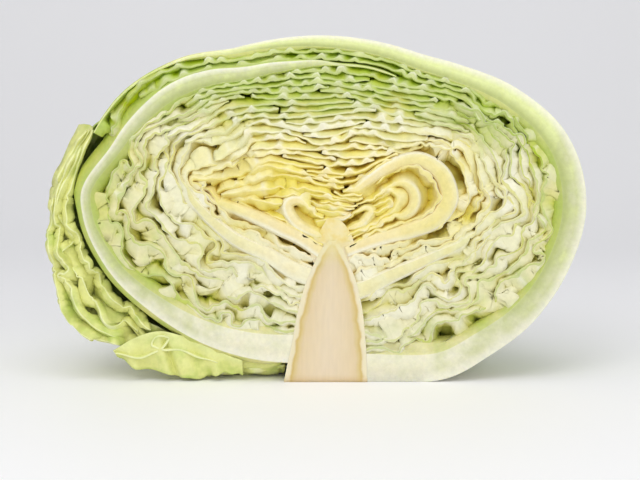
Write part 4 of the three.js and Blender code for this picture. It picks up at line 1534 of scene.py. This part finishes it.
# %% One wrapper leaf
WRAPPERS = [
    dict(name="wrapper_leaf_back_right", azimuth=46, clear=1.7, to=142, width=(30, 50), rib=0.8, below=2),
    dict(name="wrapper_leaf_back_left", azimuth=134, clear=5.2, to=140, width=(50, 34), rib=0.8, below=1),
    dict(name="wrapper_leaf_back", azimuth=90, clear=8.7, to=148, width=(50, 50), rib=4, below=0),
]
WRAPPER_BASE = 14.3  # angle from straight down that a wrapper leaf springs at
VEIN_SPACING = 21.0  # mm from one side vein to the next
ROUND_THE_BACK = 88  # mm along the leaf for each radian round the head
margin_wave, uneven = Noise(51, 11), Noise(52, 13)


def wrapper_leaf(one, seed, along=170, across=128):
    """A closed sheet wrapped round the back of the head, with the whiteness and level of its points."""
    run, side = np.linspace(0, 1, along)[:, None], np.linspace(-1, 1, across)[None, :]
    wave = margin_wave(np.stack([run[:, 0] * 180, 0 * run[:, 0] + 40 * seed, 0 * run[:, 0]], -1))[:, None]
    share = np.minimum(mix(0.14, 1, smooth(0, 0.4, run)), mix(0.35, 1, smooth(0, 0.3, 1 - run)))
    share = share * (1 + 0.05 * wave * np.abs(side) ** 3 * smooth(0, 0.2, run))
    upward = mix(WRAPPER_BASE, one["to"], run) * DEG + 0 * side
    aside = side * share * np.where(side < 0, one["width"][0], one["width"][1]) * DEG
    turn = one["azimuth"] * DEG
    out, sideward = [math.cos(turn), math.sin(turn), 0], [-math.sin(turn), math.cos(turn), 0]
    direction = (np.cos(aside) * np.sin(upward))[..., None] * out
    direction = direction - (np.cos(aside) * np.cos(upward))[..., None] * [0, 0, 1]
    direction = direction + np.sin(aside)[..., None] * sideward
    depth, angle = np.arcsin(direction[..., 1]) / DEG, round_the_heart(direction[..., [0, 2]])
    height = one["below"] * WRAPPER_LIFT
    clear = one["clear"] - [2.8, 2.6, 0.5][one["below"]] * smooth(95, 138, upward / DEG)
    inner = np.minimum(head_distance(angle, depth) + clear, floor_distance(angle, depth, height + 1.0))
    floor = floor_distance(angle, depth, height)
    free = smooth(1.5, 9, floor - inner)
    s, t = upward * ROUND_THE_BACK, aside * ROUND_THE_BACK
    place = np.stack([s, t, 0 * s + 31.0 * seed], -1)
    bent, wide = 2.6 * uneven(place), 2.6 * uneven(place + 57.0)
    pillow = pillows(s + bent, t + wide, PILLOW, seed)
    fine = pillows(s + 300 + bent, t + 300 + wide, FINE_PILLOW, seed + 5)
    vein_place = (s - 1.0 * np.abs(t) + 1.3 * bent + 9 * (t > 0)) / VEIN_SPACING
    off = np.abs(vein_place - np.round(vein_place)) * VEIN_SPACING / 1.4
    vein = np.clip(1 - off / mix(2.2, 1.0, np.abs(side)), 0, 1) * smooth(0, 5, np.abs(t))
    half_rib = mix(7.5, 1.6, run)
    midrib = np.sqrt(np.clip(1 - (t / half_rib) ** 2, 0, 1))
    near_tip = smooth(110, 140, upward / DEG)
    rise = (1.5 * pillow + 0.3 * fine) * (1 - smooth(0, 0.6, vein)) * mix(1, 0.35, near_tip) * free
    blade = 0.85 + 0.9 * vein * free + one["rib"] * np.sqrt(1 - 0.97 * run) * midrib * free
    low = inner + rise * (1 - midrib)
    high = np.minimum(low + blade, np.maximum(floor, low + 0.5))
    points = closed_sheet(HEART + high[..., None] * direction, HEART + low[..., None] * direction)
    vein_white = 0.8 * smooth(0, 0.5, vein) * mix(1, 0.6, np.abs(side))
    white = np.maximum(midrib * smooth(0, 0.1, one["rib"] * (1.2 - run)), vein_white)
    white = np.clip(white + 0.5 * (1 - smooth(0, 0.3, run)), 0, 1)
    level = 0.75 * (1 - pillow) + 0.15 * (1 - fine) + 0.8 * smooth(0.35, 0, run)
    level = level + 0.3 * smooth(0.88, 1, np.abs(side))
    return points, np.tile(white.ravel(), 2), np.tile(level.ravel(), 2)


print("a wrapper leaf has", len(wrapper_leaf(WRAPPERS[0], 60)[0][1]), "quads")

# %% Build the wrapper leaves
for seed, one in enumerate(WRAPPERS):
    points, white, level = wrapper_leaf(one, 60 + seed)
    values = plain_values(level, 0.8 * white)
    pieces[one["name"]] = make_piece(one["name"] + "_grown", [points], values, [one["name"]])
    triangles += 2 * len(pieces[one["name"]].data.polygons)
print("with the wrapper leaves and the stem:", triangles + 2 * len(stem.data.polygons), "triangles")

# %% [markdown]
# ## Colours
#
# All the leaves are the same flesh. What changes is how much light a leaf had while it grew, and what
# the knife laid bare. Pictures wrapped round each leaf could say that, but the growth above already
# knows it, so each point carries numbers for the materials. `level` runs from green (-1) to the yellow
# heart (3), `white` says how much a point is rib, `cut` marks the knife's face, `outer` the skin that
# faces out of the head, and `at_side` how green a cut edge is. Shade is also painted into the colour: a
# darker yellow-green in the gaps between close leaves, richer colour behind the knife, and darker
# colour deep in the heart.

# %% Helpers for materials
def linear(hex_colour):
    """An sRGB hex colour as linear RGBA."""
    channels = [int(hex_colour[i:i + 2], 16) / 255 for i in (1, 3, 5)]
    return [c / 12.92 if c <= 0.04045 else ((c + 0.055) / 1.055) ** 2.4 for c in channels] + [1.0]


def add(material, kind, inputs=(), output=0, stops=(), **settings):
    """Add a node and give back one of its outputs. `inputs` are values or other nodes' outputs, by name
    or in order: a MapRange takes the value, the range it comes from and the range it goes to."""
    node = material.node_tree.nodes.new("ShaderNode" + kind)
    for key, value in settings.items():
        setattr(node, key, value)
    for socket, value in inputs.items() if isinstance(inputs, dict) else enumerate(inputs):
        target = node.inputs[socket]
        if isinstance(value, bpy.types.NodeSocket):
            material.node_tree.links.new(value, target)
        else:
            target.default_value = value
    for k, (place, colour) in enumerate(stops):
        elements = node.color_ramp.elements
        element = elements[k] if k < len(elements) else elements.new(place)
        element.position = place
        element.color = linear(colour)
    return node.outputs[output] if node.outputs else node


def new_material(name):
    material = bpy.data.materials.new(name)
    material.use_nodes = True
    material.node_tree.nodes.clear()
    return material


def at_depth(mm):
    """A depth behind the knife as a place on the scene's second axis."""
    return (CUT_Y + mm) * MM


COLOURS = dict(output="Result", data_type="RGBA")  # a Mix node of colours; without it, one of numbers
TIMES = dict(operation="MULTIPLY")
print("mid grey in linear light:", round(linear("#808080")[0], 3))

# %% [markdown]
# ## Leaf flesh
#
# Common name: crisp leaf flesh under a skin of wax. It grew, so nothing on it is even, and the knife
# left a flat face that is paler than the skin. To the eye that gives soft, slightly broken reflections,
# colours that drift over a centimetre, and a richer yellow-green in the gaps, where light has gone
# through several leaves. That gap colour is painted shade here, a darker yellow-green laid into the
# colour where leaves stand close. The drift follows the levels, so ramps along `level` say it better
# than a picture could. It has no metal, refracts light as wet plants do (1.4), and wax makes it half shiny.

# %% Colours along the levels
LOWEST, HIGHEST = -1.0, 3.0


def level_stops(colours):
    """Stops of a ramp, from (level, colour) pairs."""
    return [((level - LOWEST) / (HIGHEST - LOWEST), colour) for level, colour in colours]


SKIN_COLOURS = level_stops([
    (-1.0, "#DEE084"), (-0.5, "#B2C84E"), (0.0, "#BCC85A"), (0.3, "#CACC6C"), (0.6, "#D8D282"),
    (1.0, "#DFDD9C"), (1.6, "#E5DE90"), (2.2, "#EBDF78"), (2.8, "#E8D865"),
])
WRAPPER_COLOURS = level_stops([
    (-1.0, "#86A63C"), (0.0, "#9AB64A"), (0.4, "#AFC45C"), (0.8, "#C2CF74"), (1.4, "#D2DA92"),
    (2.8, "#E0E2AE"),
])
CUT_EDGES = level_stops([
    (-1.0, "#E6EAA6"), (-0.5, "#D2DC8A"), (0.0, "#D8DCA0"), (0.5, "#E2E0B2"), (1.0, "#E8E6BA"),
    (1.6, "#EEE4AC"), (2.2, "#F0E49C"), (2.8, "#EFDF8C"),
])
GREEN_EDGES = level_stops([
    (-0.5, "#96AE28"), (0.2, "#A2B832"), (0.6, "#BAC446"), (1.0, "#D0CA56"), (1.6, "#DCD270"),
])
RIB_COLOURS = level_stops([
    (-1.0, "#DCE596"), (-0.6, "#DAE296"), (-0.25, "#C6CC8E"), (0.1, "#CED0A2"), (0.5, "#E2E0C4"),
    (1.0, "#ECE6CC"), (2.0, "#EADEB0"), (2.8, "#E8D696"),
])
# Painted shade: the darker yellow-green laid into the colour in the gaps between close leaves.
GAP_SHADE_COLOURS = level_stops([
    (-0.5, "#7C9C24"), (0.2, "#98AC36"), (0.7, "#BDB64C"), (1.2, "#D0B648"), (1.8, "#D4AE30"),
    (2.6, "#CC9E20"),
])
print("the skin is greenest at", round(SKIN_COLOURS[1][0], 3), "of its ramp")

# %% What all the leaf colours read
PATCH = 9.0909  # mm over which the colour drifts
GRAIN = 1.9231  # mm: the real grain is a tenth of this and would not show, so it is drawn coarser


def leaf_values(m, uneven):
    """The numbers on the points, the place of a point, and two noises."""
    read = {key: add(m, "Attribute", (), "Fac", attribute_name=key)
            for key in ("level", "white", "cut", "outer", "at_side")}
    place = add(m, "TexCoord", (), "Object")
    read["place"], read["behind"] = place, add(m, "SeparateXYZ", [place], "Y")
    read["cloud"] = add(m, "TexNoise", {"Vector": place, "Scale": 1000 / PATCH, "Detail": 4.0})
    fine = {"Vector": place, "Scale": 1000 / GRAIN, "Detail": 4.0, "Roughness": 0.6}
    read["grain"] = add(m, "TexNoise", fine)
    shift = add(m, "MapRange", [read["cloud"], 0.3, 0.7, -uneven, uneven])
    moved = add(m, "Math", [read["level"], shift], operation="ADD")
    read["share"] = add(m, "MapRange", [moved, LOWEST, HIGHEST])
    return read


print("colour drifts over", PATCH, "mm, with a grain of", GRAIN, "mm")


# %% Skin and cut edge
def blade_colour(m, read, skin_stops):
    """The skin's colour, and on the knife's face the paler inside of the blade."""
    skin = add(m, "ValToRGB", [read["share"]], stops=skin_stops)
    edge = add(m, "ValToRGB", [read["share"]], stops=CUT_EDGES)
    green = add(m, "ValToRGB", [read["share"]], stops=GREEN_EDGES)
    patch = add(m, "MapRange", [read["cloud"], 0.42, 0.6, 0.65, 1.0])
    greener = add(m, "MapRange", [read["level"], 0.15, 0.8, 1.25, 0.75])
    greener = add(m, "Math", [read["at_side"], greener], **TIMES)
    greener = add(m, "Math", [greener, patch], use_clamp=True, **TIMES)
    edge = add(m, "Mix", {"Factor": greener, "A": edge, "B": green}, **COLOURS)
    return add(m, "Mix", {"Factor": read["cut"], "A": skin, "B": edge}, **COLOURS)


# %% Ribs
def with_ribs(m, read, blade, deep_white, shaded):
    """Whiter on ribs, less so far behind the knife and on the shaded side of a green leaf."""
    most = add(m, "MapRange", [read["cut"], 0.0, 1.0, 0.85, 0.9])
    shallow = add(m, "MapRange", [read["behind"], at_depth(1.5), at_depth(6), 1.0, deep_white])
    most = add(m, "Math", [shallow, most], **TIMES)
    rib = add(m, "Math", [read["white"], most], **TIMES)
    pith = add(m, "ValToRGB", [read["share"]], stops=RIB_COLOURS)
    inner_part = add(m, "MapRange", [read["outer"], 0.1, 0.5, shaded, 0.0])
    away = add(m, "MapRange", [read["level"], 0.35, -0.05])
    inner_part = add(m, "Math", [inner_part, away], **TIMES)
    pith = add(m, "Mix", {"Factor": inner_part, "A": pith, "B": linear("#A8B45A")}, **COLOURS)
    toward_skin = add(m, "MapRange", [read["outer"], 0.6, 0.95, 0.0, 0.85])
    pith = add(m, "Mix", {"Factor": toward_skin, "A": pith, "B": linear("#F0EEDC")}, **COLOURS)
    return add(m, "Mix", {"Factor": rib, "A": blade, "B": pith}, **COLOURS)


# %% Richer with depth, with painted shade
def with_depth_and_painted_shade(m, read, colour, vivid):
    """The knife's face is a little dull. Behind it colours are richer, partly the skin's own colour and
    partly painted saturated shade between leaves. In the heart they are darkened further behind the
    knife, which is painted shade.
    """
    in_heart = add(m, "MapRange", [read["level"], 1.7, 2.4])
    # Behind the knife the colour is made more saturated: partly the skin's own colour, partly painted shade.
    most_vivid = add(m, "MapRange", [read["level"], 1.5, 2.4, vivid, min(vivid, 1.14)])
    deeper = add(m, "MapRange", [read["behind"], at_depth(0.5), at_depth(4.5), 0.9, most_vivid])
    rich = add(m, "MapRange", [read["behind"], at_depth(0.5), at_depth(10), 0.95, 1.3])
    deeper = add(m, "Mix", {"Factor": in_heart, "A": deeper, "B": rich}, "Result")
    # Painted shade: deep in the heart the colour is darkened further behind the knife.
    painted_heart_shade = add(m, "MapRange", [read["behind"], at_depth(2), at_depth(10), 1.0, 0.84])
    painted_heart_shade = add(m, "Mix", {"Factor": in_heart, "A": 1.0, "B": painted_heart_shade}, "Result")
    return add(m, "HueSaturation", {"Color": colour, "Saturation": deeper, "Value": painted_heart_shade})


# %% Fine mottle and painted shade in the gaps
def with_painted_gap_shade(m, read, colour, gaps):
    """A fine mottle, and painted shade: a strong, darker yellow-green where leaves stand within 4 mm."""
    mottle = add(m, "MapRange", [read["grain"], 0.3, 0.7, 0.93, 1.04])
    colour = add(m, "Mix", {"Factor": 1.0, "A": colour, "B": mottle}, blend_type="MULTIPLY", **COLOURS)
    # Painted shade: where the ambient occlusion finds a point closed in, its colour turns to the darker gap
    # colour.
    open_sky = add(m, "AmbientOcclusion", {"Distance": 0.004}, "AO", samples=6)
    closed = add(m, "MapRange", [open_sky, 0.5, 0.08, 0.0, gaps])
    gap = add(m, "ValToRGB", [read["share"]], stops=GAP_SHADE_COLOURS)
    return add(m, "Mix", {"Factor": closed, "A": colour, "B": gap}, **COLOURS)


# %% Small pillows on the skin of the loose leaves
PUCKER = 10.526  # mm across a pillow between the finest veins
BENT_OVER = 11.111  # mm over which the creases bend


def with_pillows(m, read, colour, bump, most):
    """Pale creases with pillows between them, from 6 mm behind the knife."""
    bend = add(m, "TexNoise", {"Vector": read["place"], "Scale": 1000 / BENT_OVER}, "Color")
    bent = add(m, "Mix", {"Factor": 0.006, "A": read["place"], "B": bend}, **COLOURS)
    cells = {"Vector": bent, "Scale": 1000 / PUCKER}
    creases = add(m, "TexVoronoi", cells, "Distance", feature="DISTANCE_TO_EDGE")
    height = add(m, "MapRange", [creases, 0.0, 0.28], interpolation_type="SMOOTHSTEP")
    here = add(m, "MapRange", [read["behind"], at_depth(6), at_depth(16), 0.0, most])
    low = add(m, "MapRange", [height, 0.6, 0.0, 0.0, 0.6])
    low = add(m, "Math", [low, here], **TIMES)
    colour = add(m, "Mix", {"Factor": low, "A": colour, "B": linear("#D8DE9C")}, **COLOURS)
    raised = add(m, "Math", [height, here], **TIMES)
    return colour, add(m, "Bump", {"Height": raised, "Strength": 0.8, "Distance": 0.0016, "Normal": bump})


print("pillows on the skin are", PUCKER, "mm across")


# %% Leaf materials
def leaf_flesh(name, vivid=1.3, deep_white=0.35, shaded=0.0, skin=SKIN_COLOURS, uneven=0.35,
               pillowed=0.0, glow=0.0, gaps=0.0):
    """Leaf flesh: how vivid and how white it is behind the knife, and what else it shows."""
    m = new_material(name)
    read = leaf_values(m, uneven)
    colour = with_ribs(m, read, blade_colour(m, read, skin), deep_white, shaded)
    colour = with_painted_gap_shade(m, read, with_depth_and_painted_shade(m, read, colour, vivid), gaps)
    bump = add(m, "Bump", {"Height": read["grain"], "Strength": 0.35, "Distance": 0.0005})
    if pillowed:
        colour, bump = with_pillows(m, read, colour, bump, pillowed)
    shader = add(m, "BsdfPrincipled", {
        "Base Color": colour, "Roughness": 0.4, "IOR": 1.4, "Normal": bump,
        "Subsurface Weight": glow, "Subsurface Radius": (1.0, 0.85, 0.3), "Subsurface Scale": 0.0014,
    })
    add(m, "OutputMaterial", [shader])
    return m


# The crinkled leaves get painted shade in their gaps (gaps=0.6); the other leaves get none.
inner_flesh = leaf_flesh("crinkled_leaf_flesh", gaps=0.6)
flesh = {
    "outer": leaf_flesh("outer_leaf_flesh", 1.05, deep_white=1.0, shaded=0.8, pillowed=1.0, glow=0.35),
    "frilled": leaf_flesh("green_leaf_flesh", 0.95, deep_white=1.0, pillowed=0.7),
    "wrapper": leaf_flesh("wrapper_leaf_flesh", 0.95, deep_white=1.0, skin=WRAPPER_COLOURS, uneven=0.12),
}
for name, piece in pieces.items():
    piece.data.materials.append(flesh.get(name.split("_")[0], inner_flesh))
print("leaf materials:", inner_flesh.name, *[material.name for material in flesh.values()])

# %% [markdown]
# ## Stem flesh
#
# Common name: firm pale pith with a ring of vessels. The stem grew upwards and the knife went along it,
# so its fibres show as fine streaks up the face. The ring gives a thin yellow line a few millimetres
# inside each side, and the foot is browned where the head was cut off. The points carry their distance
# from the side, which places the line. The flesh is wet: a little shinier than the leaves, and light
# goes a millimetre or two into it.

# %% Stem flesh
STREAK = 1.25  # mm across a streak: real fibres are a fifth of this, so they are drawn coarser
WANDER = 7.1429  # mm over which the yellow line wanders
BUD_GRAIN = 3.0303  # mm across the folds of the buds at the growing tip
STEM_ACROSS = [(0.0, "#E6DDBE"), (0.1, "#E4DABA"), (0.17, "#CFB670"), (0.24, "#D6C28C"),
               (0.34, "#DCC9A4"), (0.6, "#DFCEAE"), (1.0, "#E0D0B4")]
BUDS = [(0.35, "#EADFB4"), (0.5, "#E8DAA0"), (0.65, "#E4D07E")]


def stem_flesh():
    """Pale pith with a yellow line inside each side, a yellow growing tip and a brown foot."""
    m = new_material("stem_flesh")
    from_side = add(m, "Attribute", (), "Fac", attribute_name="from_side")
    place = add(m, "TexCoord", (), "Object")
    stretched = add(m, "Mapping", {"Vector": place, "Scale": (1, 1, 0.12)})
    streaks = add(m, "TexNoise", {"Vector": stretched, "Scale": 1000 / STREAK, "Detail": 3.0})
    wobble = add(m, "TexNoise", {"Vector": place, "Scale": 1000 / WANDER, "Detail": 3.0})
    shift = add(m, "MapRange", [wobble, 0.0, 1.0, -1.6, 1.6])
    moved = add(m, "Math", [from_side, shift], operation="ADD")
    share = add(m, "MapRange", [moved, 0.0, 16.0])
    body = add(m, "ValToRGB", [share], stops=STEM_ACROSS)
    height = add(m, "SeparateXYZ", [place], "Z")
    upper = add(m, "MapRange", [height, 0.052, 0.064])
    bud = add(m, "ValToRGB", [wobble], stops=BUDS)
    body = add(m, "Mix", {"Factor": upper, "A": body, "B": bud}, **COLOURS)
    foot = add(m, "MapRange", [height, 0.0035, 0.0, 0.0, 0.55])
    body = add(m, "Mix", {"Factor": foot, "A": body, "B": linear("#C9A96E")}, **COLOURS)
    grain = add(m, "TexNoise", {"Vector": place, "Scale": 1000 / BUD_GRAIN, "Detail": 3.0})
    streaks = add(m, "Mix", {"Factor": upper, "A": streaks, "B": grain}, "Result")
    tone = add(m, "MapRange", [streaks, 0.3, 0.7, 0.97, 1.02])
    colour = add(m, "Mix", {"Factor": 1.0, "A": body, "B": tone}, blend_type="MULTIPLY", **COLOURS)
    bump = add(m, "Bump", {"Height": streaks, "Strength": 0.2, "Distance": 0.0004})
    shader = add(m, "BsdfPrincipled", {
        "Base Color": colour, "Roughness": 0.38, "IOR": 1.4, "Normal": bump,
        "Subsurface Weight": 0.35, "Subsurface Radius": (1.0, 0.8, 0.45), "Subsurface Scale": 0.0015,
    })
    add(m, "OutputMaterial", [shader])
    return m


stem.data.materials.append(stem_flesh())
print("the stem's streaks are", STREAK, "mm across")

# %% [markdown]
# ## Floor and light
#
# The half head stands on matt white card that sweeps up behind it, because the corner of a plane and a
# wall would show. The light is soft: a large disc high on the left in front, one above the table, a weak
# one level with the cut face, a weaker one on the right, and a pale room that keeps the shadows light.

# %% Floor
floor_mesh = bpy.data.meshes.new("floor")
FOLD_AT, FOLD_RADIUS = 0.6, 0.5  # m
turns = [degrees * DEG for degrees in range(10, 91, 10)]
sweep = [(-1.6, 0.0), (FOLD_AT, 0.0)]
sweep += [(FOLD_AT + FOLD_RADIUS * math.sin(turn), FOLD_RADIUS * (1 - math.cos(turn))) for turn in turns]
sweep += [(FOLD_AT + FOLD_RADIUS, 2.4)]
corners = [(x, y, z) for y, z in sweep for x in (-2.5, 2.5)]
strips = [(2 * k, 2 * k + 1, 2 * k + 3, 2 * k + 2) for k in range(len(sweep) - 1)]
floor_mesh.from_pydata(corners, [], strips)
floor_mesh.shade_smooth()
floor = bpy.data.objects.new("floor", floor_mesh)
bpy.context.scene.collection.objects.link(floor)
paper = new_material("white_paper")
# Matt card: it scatters light evenly, with hardly a highlight.
card = add(paper, "BsdfPrincipled", {"Base Color": linear("#FBFBFD"), "Roughness": 0.6})
add(paper, "OutputMaterial", [card])
floor.data.materials.append(paper)
print("the card has", len(strips), "strips")

# %% Light
world = bpy.data.worlds.new("studio")
bpy.context.scene.world = world
world.use_nodes = True
room = world.node_tree.nodes["Background"]
room.inputs["Color"].default_value = linear("#F1F1F2")
room.inputs["Strength"].default_value = 0.57


def soft_box(name, place, aim, size, watts):
    """A round lamp, `size` m across, at one place and turned to another."""
    light = bpy.data.lights.new(name, "AREA")
    light.shape = "DISK"
    light.size = size
    light.energy = watts
    box = bpy.data.objects.new(name, light)
    box.location = place
    box.rotation_euler = (Vector(aim) - Vector(place)).to_track_quat("-Z", "Y").to_euler()
    bpy.context.scene.collection.objects.link(box)
    return box


MIDDLE = (0, 0, 0.07)  # of the cut face
soft_box("key", (-0.45, -0.9, 0.9), MIDDLE, 0.7, 4.1)
soft_box("above", (0.0, -0.4, 1.2), (0, -0.3, 0), 0.9, 3.4)
soft_box("front", (0.25, -1.1, 0.25), MIDDLE, 0.7, 2.5)
soft_box("fill", (0.8, -0.7, 0.5), MIDDLE, 0.8, 1.1)
bpy.context.scene.view_settings.view_transform = "Standard"
